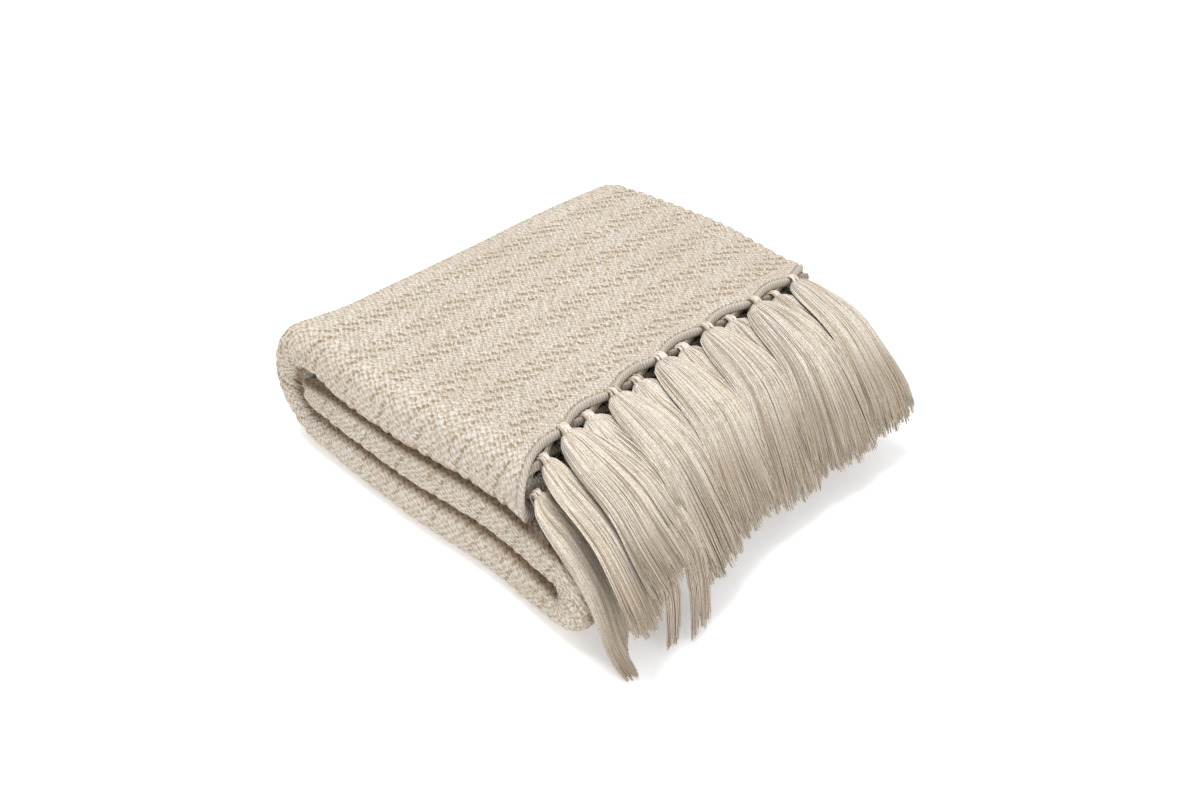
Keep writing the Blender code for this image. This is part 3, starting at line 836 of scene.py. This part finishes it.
def gather(parts):
    """Several lots of points and faces as one."""
    points, faces, places, start = [], [], [], 0
    for some_points, some_faces, some_places in parts:
        points.append(some_points)
        places.append(some_places)
        faces += [[corner + start for corner in face] for face in some_faces]
        start += len(some_points)
    return np.concatenate(points), faces, np.concatenate(places)


def new_mesh(name, points, faces, map_name, places):
    """A smooth mesh whose named map holds each vertex's place on the cloth or along its yarn."""
    mesh = bpy.data.meshes.new(name)
    mesh.from_pydata(points.tolist(), [], faces)
    corners = np.empty(len(mesh.loops), dtype=np.int32)
    mesh.loops.foreach_get("vertex_index", corners)
    layer = mesh.uv_layers.new(name=map_name)
    layer.uv.foreach_set("vector", places[corners].astype(np.float32).ravel())
    mesh.shade_smooth()
    return mesh


def add_piece(mesh, material, node):
    """Show a mesh in place of its solid."""
    piece = bpy.data.objects.new(mesh.name, mesh)
    bpy.context.scene.collection.objects.link(piece)
    mesh.materials.append(material)
    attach(piece, "root")
    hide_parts(node)
    return piece


class Nodes:
    """Adds nodes to one tree and joins them up."""

    def __init__(self, tree):
        self.tree = tree

    def link(self, value, socket):
        self.tree.links.new(value, socket)

    def add(self, kind, inputs=(), **settings):
        node = self.tree.nodes.new(kind)
        for name, value in settings.items():
            setattr(node, name, value)
        for key, value in dict(inputs).items():
            if isinstance(value, bpy.types.NodeSocket):
                self.link(value, node.inputs[key])
            else:
                node.inputs[key].default_value = value
        return node

    def math(self, operation, *values, clamp=False):
        inputs = dict(enumerate(values))
        return self.add("ShaderNodeMath", inputs, operation=operation, use_clamp=clamp).outputs[0]

    def times(self, one, other):
        return self.math("MULTIPLY", one, other)

    def minus(self, one, other):
        return self.math("SUBTRACT", one, other)

    def product_plus(self, one, other, more, clamp=False):
        return self.math("MULTIPLY_ADD", one, other, more, clamp=clamp)

    def remap(self, value, low, high, to_low=0.0, to_high=1.0):
        inputs = {"Value": value, "From Min": low, "From Max": high, "To Min": to_low, "To Max": to_high}
        return self.add("ShaderNodeMapRange", inputs, interpolation_type="SMOOTHSTEP").outputs[0]

    def mix(self, share, one, other):
        return self.add("ShaderNodeMix", {0: share, 2: one, 3: other}).outputs[0]

    def tint(self, share, tone, colour):
        """A tone with some share of one of the settings' colours in it."""
        inputs = {0: share, 6: tone, 7: (*colour, 1)}
        return self.add("ShaderNodeMix", inputs, data_type="RGBA").outputs[2]

    def combine(self, x, y, z=0.0):
        return self.add("ShaderNodeCombineXYZ", {0: x, 1: y, 2: z}).outputs[0]

    def separate(self, vector):
        return self.add("ShaderNodeSeparateXYZ", {0: vector}).outputs

    def noise(self, place, scale, detail, dimensions="2D"):
        inputs = {"Vector": place, "Scale": scale, "Detail": detail}
        return self.add("ShaderNodeTexNoise", inputs, noise_dimensions=dimensions).outputs

    def attribute(self, name):
        return self.add("ShaderNodeAttribute", attribute_name=name).outputs["Fac"]


def new_group(name, inputs, outputs):
    """An empty shader group with named sockets, its nodes, and its input and output nodes."""
    group = bpy.data.node_groups.new(name, "ShaderNodeTree")
    for label, kind, default in inputs:
        socket = group.interface.new_socket(label, in_out="INPUT", socket_type=kind)
        if default is not None:
            socket.default_value = default
    for label in outputs:
        group.interface.new_socket(label, in_out="OUTPUT", socket_type="NodeSocketFloat")
    nodes = Nodes(group)
    return group, nodes, nodes.add("NodeGroupInput").outputs, nodes.add("NodeGroupOutput").inputs


def wool_fibre_group():
    """Fine hairs and slow drifts of tone, for the cloth and the tassels alike."""
    group, nodes, given, out = new_group(
        "Wool fibre",
        [("Place", "NodeSocketVector", None), ("Hair size", "NodeSocketFloat", 0.0004),
         ("Drift size", "NodeSocketFloat", 0.05)],
        ("Hairs", "Drift"),
    )
    for label, size, detail in (("Hairs", "Hair size", 1.0), ("Drift", "Drift size", 3.0)):
        scale = nodes.math("DIVIDE", 1.0, given[size])
        nodes.link(nodes.noise(given["Place"], scale, detail, "3D")["Fac"], out[label])
    return group


def herringbone_group():
    """The knit's height, the holes between its stitches, and its diagonal grooves."""
    group, nodes, given, out = new_group(
        "Herringbone knit",
        [("Across", "NodeSocketFloat", 0.0), ("Lengthwise", "NodeSocketFloat", 0.0),
         ("Weak share", "NodeSocketFloat", 0.5)],
        ("Height", "Holes", "Grooves"),
    )
    place = nodes.combine(given["Across"], given["Lengthwise"])
    column = nodes.math("DIVIDE", nodes.minus(given["Lengthwise"], KNIT_START), COLUMN)
    weak = nodes.math("FLOORED_MODULO", nodes.math("FLOOR", column), 2.0)

    # The grooves climb one way in a column and the other way in the next, where they are weaker
    sign = nodes.product_plus(weak, -2.0, 1.0)
    climb = nodes.times(nodes.times(nodes.math("FRACT", column), sign), -GROOVES_CROSSED)
    turns = nodes.math("ADD", nodes.math("DIVIDE", given["Across"], GROOVE_PITCH), climb)
    turns = nodes.product_plus(weak, 0.5, turns)
    turns = nodes.product_plus(nodes.noise(place, 110.0, 2.0)["Fac"], 0.22, turns)
    wave = nodes.math("COSINE", nodes.times(turns, 2 * math.pi))
    groove = nodes.product_plus(wave, -0.5, 0.5)
    weakness = nodes.times(weak, nodes.minus(1.0, given["Weak share"]))
    strength = nodes.times(nodes.minus(1.0, weakness), nodes.math("GREATER_THAN", column, 0.0))
    line = nodes.times(nodes.math("POWER", groove, 14.0), strength)
    broad = nodes.times(nodes.math("POWER", groove, 2.0), strength)

    # The stitches stand in a lattice, each pulled a little out of its place
    pull = nodes.separate(nodes.noise(place, 300.0, 1.0)["Color"])
    stitch = nodes.math("DIVIDE", given["Across"], GROOVE_PITCH / STITCHES_PER_GROOVE)
    stitch = nodes.product_plus(nodes.minus(pull[0], 0.5), 0.9, stitch)
    row = nodes.times(column, float(STITCHES_PER_COLUMN))
    row = nodes.product_plus(nodes.minus(pull[1], 0.5), 1.2, row)
    lumps = nodes.times(nodes.math("COSINE", nodes.times(stitch, 2 * math.pi)),
                        nodes.math("COSINE", nodes.times(row, math.pi)))
    open_here = nodes.remap(pull[2], 0.40, 0.66, 0.45, 0.85)
    open_here = nodes.product_plus(broad, 0.30, open_here, clamp=True)
    # The holes and grooves mark where the knit's material paints shade into its hollows
    holes = nodes.times(nodes.remap(lumps, 0.45, -0.55), open_here)
    grooves = nodes.times(line, nodes.remap(lumps, 0.7, -0.3, 0.2, 1.0))

    height = nodes.product_plus(lumps, 0.40, nodes.times(broad, -0.35))
    height = nodes.product_plus(line, -0.30, height)
    height = nodes.product_plus(holes, -0.15, height)
    for label, value in (("Height", height), ("Holes", holes), ("Grooves", grooves)):
        nodes.link(value, out[label])
    return group


def new_material(name):
    material = bpy.data.materials.new(name)
    material.use_nodes = True
    nodes = Nodes(material.node_tree)
    return material, nodes, material.node_tree.nodes["Principled BSDF"].inputs


def add_fibre(nodes, fibre, place, hair, drift):
    """The wool's own hairs and drifts, at the sizes that one material needs."""
    wool = nodes.add("ShaderNodeGroup", node_tree=fibre)
    nodes.link(place, wool.inputs["Place"])
    wool.inputs["Hair size"].default_value = hair
    wool.inputs["Drift size"].default_value = drift
    return wool.outputs


def knit_material(settings, herringbone, fibre):
    """Cream wool knit: paler stitches, warm brown painted shade in the holes, grooves, ribs and dip, a
    ribbed rolled edge, and painted shade in the creases.
    """
    material, nodes, shader = new_material("cream_knit")
    cloth = nodes.add("ShaderNodeUVMap", uv_map="cloth").outputs[0]
    place = nodes.separate(cloth)
    edge = nodes.attribute("edge_distance")
    knit = nodes.add("ShaderNodeGroup", node_tree=herringbone)
    nodes.link(place[0], knit.inputs["Across"])
    nodes.link(place[1], knit.inputs["Lengthwise"])
    knit.inputs["Weak share"].default_value = settings.weak_share
    wool = add_fibre(nodes, fibre, cloth, KNIT_HAIR, KNIT_DRIFT)

    inside = nodes.remap(edge, EDGE_WIDTH, EDGE_WIDTH + 0.0008)
    slant = nodes.product_plus(edge, 0.5, place[0])
    ribs = nodes.math("SINE", nodes.times(slant, 2 * math.pi / RIB))
    ribs = nodes.product_plus(ribs, 0.5, 0.5)
    height = nodes.mix(inside, nodes.times(ribs, 0.8), knit.outputs["Height"])
    height = nodes.product_plus(wool["Hairs"], 0.20, height)

    # Painted shade: between the edge's ribs, in the knit's holes and grooves, and in the dip beside the
    # bead
    painted_rib_shade = nodes.times(nodes.minus(1.0, ribs), RIB_SHADE)
    painted_hollow_shade = nodes.math("ADD", nodes.times(knit.outputs["Holes"], HOLE_SHADE),
                      nodes.times(knit.outputs["Grooves"], GROOVE_SHADE), clamp=True)
    painted_hollow_shade = nodes.mix(inside, painted_rib_shade, painted_hollow_shade)
    dip = nodes.math("COMPARE", edge, EDGE_WIDTH + 0.0003, 0.0006)
    painted_hollow_shade = nodes.product_plus(dip, DIP_SHADE, painted_hollow_shade, clamp=True)

    drift = nodes.remap(wool["Drift"], 0.3, 0.7)
    tone = nodes.tint(drift, (*settings.deep_drift_colour, 1), settings.colour)
    tone = nodes.tint(nodes.remap(wool["Hairs"], 0.40, 0.70, 0.0, 0.7), tone, settings.pale_fibre_colour)
    tone = nodes.tint(painted_hollow_shade, tone, settings.hole_shade_colour)
    # Painted shade deep in the creases and under the upper ply's edge
    painted_shade = nodes.math("MULTIPLY", nodes.attribute("painted_shade"), PAINTED_CREASE_SHADE, clamp=True)
    nodes.link(nodes.tint(painted_shade, tone, settings.crease_shade_colour), shader["Base Color"])
    nodes.link(nodes.remap(painted_hollow_shade, 0.0, 1.0, 0.82, 0.95), shader["Roughness"])
    bump = nodes.add("ShaderNodeBump", {"Height": height, "Strength": 1.0, "Distance": BUMP_HEIGHT})
    nodes.link(bump.outputs[0], shader["Normal"])
    shader["Sheen Weight"].default_value = 0.20
    shader["Sheen Roughness"].default_value = 0.6
    shader["Sheen Tint"].default_value = (*settings.sheen_colour, 1)
    shader["Specular IOR Level"].default_value = 0.15
    return material


def yarn_material(settings, fibre):
    """Tassel yarn: silky off-white with warm strands among the cool ones, and painted shade on the tips and
    the core.
    """
    material, nodes, shader = new_material("tassel_yarn_strands")
    tone_of_strand, along, _ = nodes.separate(nodes.add("ShaderNodeUVMap", uv_map="yarn").outputs[0])
    where = nodes.add("ShaderNodeTexCoord").outputs["Object"]
    wool = add_fibre(nodes, fibre, where, YARN_HAIR, YARN_DRIFT)

    warm = nodes.product_plus(wool["Drift"], 0.4, nodes.times(tone_of_strand, 0.8))
    tone = nodes.tint(nodes.remap(warm, 0.45, 0.95), (*settings.cool_colour, 1), settings.warm_colour)
    odd = nodes.math("FRACT", nodes.times(tone_of_strand, 37.0))
    fleck = nodes.combine(nodes.times(tone_of_strand, FLECKS_APART[0]), nodes.times(along, FLECKS_APART[1]))
    fleck = nodes.noise(fleck, 1.0, 1.0)["Fac"]
    core = nodes.math("GREATER_THAN", tone_of_strand, CORE_TONE / 2 + 0.1)
    # Darker tones: odd strands, partly painted shade between strands; flecks of the yarn; painted shade on
    # the tips and the core
    for darker in (
        nodes.remap(odd, 0.55, 1.00, 0.0, ODD_SHADE),
        nodes.remap(fleck, 0.42, 0.66, 0.0, FLECK_SHADE),
        nodes.remap(along, *TIPS_DARKEN, 0.0, TIP_SHADE),
        nodes.times(core, CORE_SHADE),
    ):
        tone = nodes.tint(darker, tone, settings.dark_colour)
    nodes.link(tone, shader["Base Color"])
    nodes.link(nodes.remap(odd, 0.0, 1.0, 0.42, 0.60), shader["Roughness"])
    twist = nodes.math("SINE", nodes.times(along, 2 * math.pi / YARN_TWIST))
    height = nodes.product_plus(twist, 0.3, wool["Hairs"])
    bump = nodes.add("ShaderNodeBump", {"Height": height, "Strength": 0.35, "Distance": YARN_BUMP})
    nodes.link(bump.outputs[0], shader["Normal"])
    shader["Sheen Weight"].default_value = 0.15
    shader["Specular IOR Level"].default_value = 0.4
    return material


def floor_material(settings):
    """A plain pale floor."""
    material, _, shader = new_material("pale_floor")
    shader["Base Color"].default_value = (*settings.floor_colour, 1)
    shader["Emission Color"].default_value = (*settings.floor_colour, 1)
    shader["Emission Strength"].default_value = FLOOR_GLOW
    shader["Roughness"].default_value = 0.9
    return material


def shared_group(name, make):
    return bpy.data.node_groups.get(name) or make()


def shared_material(name, make):
    return bpy.data.materials.get(name) or make()


def tassel_material():
    settings = bpy.context.scene.throw_tassels
    fibre = shared_group("Wool fibre", wool_fibre_group)
    return shared_material("tassel_yarn_strands", lambda: yarn_material(settings, fibre))


class ThrowKnit(bpy.types.PropertyGroup):
    """The knitted cloth."""

    groove_depth: bpy.props.FloatProperty(
        name="Groove depth", description="Depth of the herringbone's strong grooves",
        default=0.0013, min=0.0, max=0.003, unit="LENGTH", precision=4)
    weak_share: bpy.props.FloatProperty(
        name="Weak grooves", description="Depth of the grooves in every other column, as a share",
        default=0.35, min=0.0, max=1.0, subtype="FACTOR")
    bead_height: bpy.props.FloatProperty(
        name="Rolled edge", description="Height of the bead along the tasselled edge",
        default=0.0013, min=0.0, max=0.003, unit="LENGTH", precision=4)
    colour: bpy.props.FloatVectorProperty(
        name="Wool", description="Colour of the stitches", subtype="COLOR", size=3,
        min=0.0, max=1.0, default=(0.62, 0.57, 0.515))
    # The deeper of the wool's two tones, laid by a random drift
    deep_drift_colour: bpy.props.FloatVectorProperty(
        name="Wool in shade", description="The deeper of the two drifting tones", subtype="COLOR",
        size=3, min=0.0, max=1.0, default=(0.575, 0.51, 0.44))
    # The palest fibres' own colour, laid by the hairs' noise
    pale_fibre_colour: bpy.props.FloatVectorProperty(
        name="Wool highlights", description="Colour of the palest fibres", subtype="COLOR",
        size=3, min=0.0, max=1.0, default=(0.70, 0.67, 0.625))
    # Colour of the shade painted into the knit's holes, grooves, ribs and dip
    hole_shade_colour: bpy.props.FloatVectorProperty(
        name="Holes", description="Colour between the stitches", subtype="COLOR", size=3,
        min=0.0, max=1.0, default=(0.37, 0.27, 0.155))
    # Colour of the shade painted deep in the creases between the bands
    crease_shade_colour: bpy.props.FloatVectorProperty(
        name="Creases", description="Colour deep between the bands", subtype="COLOR", size=3,
        min=0.0, max=1.0, default=(0.17, 0.09, 0.035))
    sheen_colour: bpy.props.FloatVectorProperty(
        name="Sheen", description="Colour of the fuzz that catches the light", subtype="COLOR",
        size=3, min=0.0, max=1.0, default=(0.97, 0.86, 0.70))


class ThrowTassels(bpy.types.PropertyGroup):
    """The tassels."""

    strand_radius: bpy.props.FloatProperty(
        name="Yarn radius", description="Radius of one strand of yarn",
        default=0.00036, min=0.0002, max=0.001, unit="LENGTH", precision=5)
    strand_count: bpy.props.IntProperty(
        name="Strands", description="Fine strands in each tassel of the two upper rows",
        default=300, min=40, max=500)
    puff: bpy.props.FloatProperty(
        name="Puff", description="How far a tassel swells out just below its knot",
        default=0.0025, min=0.0, max=0.008, unit="LENGTH", precision=4)
    cool_colour: bpy.props.FloatVectorProperty(
        name="Cool yarn", description="Colour of the greyer strands", subtype="COLOR", size=3,
        min=0.0, max=1.0, default=(0.70, 0.655, 0.59))
    warm_colour: bpy.props.FloatVectorProperty(
        name="Warm yarn", description="Colour of the warmer strands", subtype="COLOR", size=3,
        min=0.0, max=1.0, default=(0.66, 0.57, 0.45))
    # Colour of the painted shade on the tips and the core, and partly on the odd darker strands
    dark_colour: bpy.props.FloatVectorProperty(
        name="Deep yarn", description="Colour of the odd darker strands, the tips and the core",
        subtype="COLOR", size=3, min=0.0, max=1.0, default=(0.28, 0.205, 0.13))


class ThrowStage(bpy.types.PropertyGroup):
    """The floor, the lights and the camera."""

    floor_colour: bpy.props.FloatVectorProperty(
        name="Floor", description="Colour of the floor", subtype="COLOR", size=3,
        min=0.0, max=1.0, default=(0.96, 0.96, 0.96))
    key_power: bpy.props.FloatProperty(
        name="Key light", description="Power of the large soft light", default=26.0, min=0.0, unit="POWER")
    fill_power: bpy.props.FloatProperty(
        name="Fill light", description="Power of the light from the fringed side", default=12.0,
        min=0.0, unit="POWER")
    sky: bpy.props.FloatProperty(
        name="Room light", description="Strength of the light from all round", default=0.66, min=0.0)
    lens: bpy.props.FloatProperty(
        name="Lens", description="Focal length of the camera", default=0.0365685,
        min=0.01, unit="LENGTH", precision=5)


def depth_of(row):
    return row / (len(EDGE_PHASES) - 1)


def lane_of(knot, locks):
    """How far a tassel's tips may spread to the front and to the back."""
    front = max(knot - KNOT_PITCH / 2, FIRST_LANE)
    back = min(knot + KNOT_PITCH / 2, FOLDED_WIDTH - FRINGE_INSET)
    gap = LOCK_GAP * KNOT_PITCH / locks / 4
    return leaning(front) + gap, leaning(back) - gap


def tassel_shape(settings, **changes):
    """How a tassel's strands fall. Lengths are shares of the fall, and widths of the room it has."""
    shape = {
        "fall": FALL,
        "start": 0.0,        # where on the fall the knot lies, in rows
        "longer": 0.15,      # than the fall, in rows
        "shorter": 0.0,      # towards the back
        "lobed": 0.0,        # shorter at both sides
        "ragged": 0.07,      # unevenness of the tips, strand by strand
        "uneven": 0.05,      # the same, lock by lock
        "locks": UPPER_LOCKS,    # bunches that the strands part into
        "parted": 0.55,      # how far the locks draw apart
        "head": 0.8,         # width at the knot
        "width": 1.15,       # and at the tips
        "taper": 0.0,        # narrowing towards the tips
        "fan": 0.55,         # how soon it widens: less is sooner
        "lean": 0.0,         # of the tips along Y
        "puff": settings.puff,
        "puff_at": 0.18,     # where along the strands it swells most
        "flat": 0.0,         # how far its fall is drawn straight
    }
    shape.update(changes)
    return shape


def hang_tassel(name, knot, depths, lane, shape, seed, core, fine, steps):
    """One tassel: a wrapped knot, a core of thick yarns, and fine strands over it."""
    settings = bpy.context.scene.throw_tassels
    radius = settings.strand_radius
    parts = [
        knot_loops(knot, depths[0], shape["start"], 1 + seed % 7, steps=10, sides=5),
        strands(knot, depths, lane, shape, core, radius * CORE_THICKNESS, 5, steps, seed * 10, True),
        strands(knot, depths, lane, shape, fine, radius, 3, steps, seed * 10 + 5, False),
    ]
    points, faces, places = gather(parts)
    mesh = new_mesh(name + "_yarn", points, faces, "yarn", places)
    return add_piece(mesh, tassel_material(), name)


def hang_row(row, shape_of, **counts):
    """The tassels of one edge, each with a shape of its own."""
    for number in range(1, KNOTS_PER_EDGE + 1):
        knot = (number - EDGE_PHASES[row]) * KNOT_PITCH
        shape = shape_of(row, number, knot)
        lane = lane_of(knot, UPPER_LOCKS if row < UPPER_EDGES else LOWER_LOCKS)
        hang_tassel(f"tassel_edge{row + 1}_knot{number}", knot, [depth_of(row)] * len(FALL), lane, shape,
                    seed=20 * row + number, **counts)


class THROW_OT_upper_tassels(bpy.types.Operator):
    """Hang the tassels of the two upper edges, which show from above"""

    bl_idname = "throw.upper_tassels"
    bl_label = "Upper tassels"

    @staticmethod
    def shape_of(row, number, knot):
        lean, width, longer = UPPER_SHAPES[row][number - 1]
        return tassel_shape(bpy.context.scene.throw_tassels, lean=lean, width=width, longer=longer,
                            ragged=0.12, uneven=0.05, parted=0.85, head=1.25, lobed=0.09, taper=0.10,
                            puff_at=0.18 - 0.06 * row, flat=0.38 - 0.20 * knot / FOLDED_WIDTH)

    def execute(self, context):
        for row in range(UPPER_EDGES):
            hang_row(row, self.shape_of, core=26, fine=context.scene.throw_tassels.strand_count, steps=16)
        return {"FINISHED"}


class THROW_OT_lower_tassels(bpy.types.Operator):
    """Hang the tassels of the six edges below, down to the floor"""

    bl_idname = "throw.lower_tassels"
    bl_label = "Lower tassels"

    @staticmethod
    def shape_of(row, number, knot):
        longer = LOWER_LENGTHS[row - UPPER_EDGES][number - 1]
        shape = tassel_shape(bpy.context.scene.throw_tassels, puff=0.0005, ragged=0.12, uneven=0.08,
                             width=0.80, locks=LOWER_LOCKS, parted=0.9, taper=0.45, longer=longer)
        if longer is None:
            second = number - 1    # 0 for the nearer one, 1 for the other
            shape.update(width=0.50 + 0.15 * second, taper=0.35 - 0.30 * second, lean=0.0050,
                         fall=LOOSE_FALL + SECOND_FURTHER * second, longer=0.0, uneven=0.03)
        return shape

    def execute(self, context):
        for row in range(UPPER_EDGES, len(EDGE_PHASES)):
            hang_row(row, self.shape_of, core=12, fine=80, steps=9)
        return {"FINISHED"}


class THROW_OT_front_tassel(bpy.types.Operator):
    """Hang the tassel that falls over the front corner"""

    bl_idname = "throw.front_tassel"
    bl_label = "Front tassel"

    def execute(self, context):
        settings = context.scene.throw_tassels
        shape = tassel_shape(settings, puff=0.0050, puff_at=0.30, width=2.20, ragged=0.04, lean=0.0065,
                             locks=5, parted=0.5, fan=0.45, taper=0.50, flat=0.65, shorter=0.22,
                             start=0.55, head=1.1)
        hang_tassel("tassel_front_corner", FRONT_KNOT, FRONT_DEPTHS, FRONT_LANE, shape,
                    seed=7, core=30, fine=settings.strand_count, steps=16)
        return {"FINISHED"}


class THROW_OT_knitted_panel(bpy.types.Operator):
    """Make the folded herringbone cloth"""

    bl_idname = "throw.knitted_panel"
    bl_label = "Knitted panel"

    def execute(self, context):
        settings = context.scene.throw_knit
        cloth = panel_mesh(settings)
        points, places = np.concatenate(cloth.points), np.concatenate(cloth.places)
        mesh = new_mesh("knitted_panel_cloth", points, cloth.faces, "cloth", places)
        # The edge distance, and the shade painted into the cloth's colour
        for label, values in (("edge_distance", cloth.edges), ("painted_shade", cloth.painted_shades)):
            layer = mesh.attributes.new(label, "FLOAT", "POINT")
            layer.data.foreach_set("value", np.concatenate(values).astype(np.float32))
        shaped = bmesh.new()
        shaped.from_mesh(mesh)
        bmesh.ops.recalc_face_normals(shaped, faces=shaped.faces)
        shaped.to_mesh(mesh)
        shaped.free()
        herringbone = shared_group("Herringbone knit", herringbone_group)
        fibre = shared_group("Wool fibre", wool_fibre_group)
        panel = add_piece(mesh, knit_material(settings, herringbone, fibre), "knitted_panel")
        return {"FINISHED"}


def add_light(name, location, size, power):
    """A round soft light, aimed at the stack."""
    light = bpy.data.lights.new(name, "AREA")
    light.shape = "DISK"
    light.size = size
    light.energy = power
    place_and_aim(bpy.data.objects.new(name, light), location, STAGE_MIDDLE)


def place_and_aim(thing, location, target):
    thing.location = location
    thing.rotation_mode = "QUATERNION"
    thing.rotation_quaternion = (Vector(target) - Vector(location)).to_track_quat("-Z", "Y")
    bpy.context.scene.collection.objects.link(thing)


def add_floor(settings):
    mesh = bpy.data.meshes.new("floor")
    corners = [(x * FLOOR_HALF, y * FLOOR_HALF, 0) for x, y in ((-1, -1), (1, -1), (1, 1), (-1, 1))]
    mesh.from_pydata(corners, [], [(0, 1, 2, 3)])
    mesh.materials.append(floor_material(settings))
    floor = bpy.data.objects.new("floor", mesh)
    bpy.context.scene.collection.objects.link(floor)


def add_camera(settings):
    camera = bpy.data.cameras.new("Camera")
    camera.sensor_width = SENSOR_WIDTH
    camera.lens = settings.lens * 1000
    camera.shift_x, camera.shift_y = CAMERA_SHIFT
    camera.clip_start = CAMERA_START
    viewer = bpy.data.objects.new("Camera", camera)
    place_and_aim(viewer, CAMERA_PLACE, CAMERA_AIM)
    bpy.context.scene.camera = viewer


class THROW_OT_stage(bpy.types.Operator):
    """Add the floor, the soft lights and the camera"""

    bl_idname = "throw.stage"
    bl_label = "Stage"

    def execute(self, context):
        settings = context.scene.throw_stage
        add_floor(settings)
        world = bpy.data.worlds.new("Studio")
        world.use_nodes = True
        sky = world.node_tree.nodes["Background"].inputs
        sky["Color"].default_value = (1.0, 1.0, 1.0, 1)
        sky["Strength"].default_value = settings.sky
        context.scene.world = world
        context.scene.view_settings.view_transform = "Standard"
        add_light("Key", KEY_PLACE, KEY_SIZE, settings.key_power)
        add_light("Fill", FILL_PLACE, FILL_SIZE, settings.fill_power)
        add_camera(settings)
        return {"FINISHED"}


class THROW_PT_sidebar(bpy.types.Panel):
    """The throw's settings and its pieces"""

    bl_label = "Knitted throw"
    bl_idname = "THROW_PT_sidebar"
    bl_space_type = "VIEW_3D"
    bl_region_type = "UI"
    bl_category = "Throw"

    def draw(self, context):
        for group in (context.scene.throw_knit, context.scene.throw_tassels, context.scene.throw_stage):
            box = self.layout.box()
            for name in group.__annotations__:
                box.prop(group, name)
        for operator in OPERATORS:
            self.layout.operator(operator.bl_idname)


OPERATORS = (
    THROW_OT_stage,
    THROW_OT_upper_tassels,
    THROW_OT_lower_tassels,
    THROW_OT_front_tassel,
    THROW_OT_knitted_panel,
)
CLASSES = (ThrowKnit, ThrowTassels, ThrowStage) + OPERATORS + (THROW_PT_sidebar,)


def register():
    for kind in CLASSES:
        bpy.utils.register_class(kind)
    bpy.types.Scene.throw_knit = bpy.props.PointerProperty(type=ThrowKnit)
    bpy.types.Scene.throw_tassels = bpy.props.PointerProperty(type=ThrowTassels)
    bpy.types.Scene.throw_stage = bpy.props.PointerProperty(type=ThrowStage)


def unregister():
    del bpy.types.Scene.throw_stage
    del bpy.types.Scene.throw_tassels
    del bpy.types.Scene.throw_knit
    for kind in reversed(CLASSES):
        bpy.utils.unregister_class(kind)


def main():
    register()
    bpy.ops.throw.stage()
    bpy.ops.throw.upper_tassels()
    bpy.ops.throw.lower_tassels()
    bpy.ops.throw.front_tassel()
    bpy.ops.throw.knitted_panel()


if __name__ == "__main__":
    main()
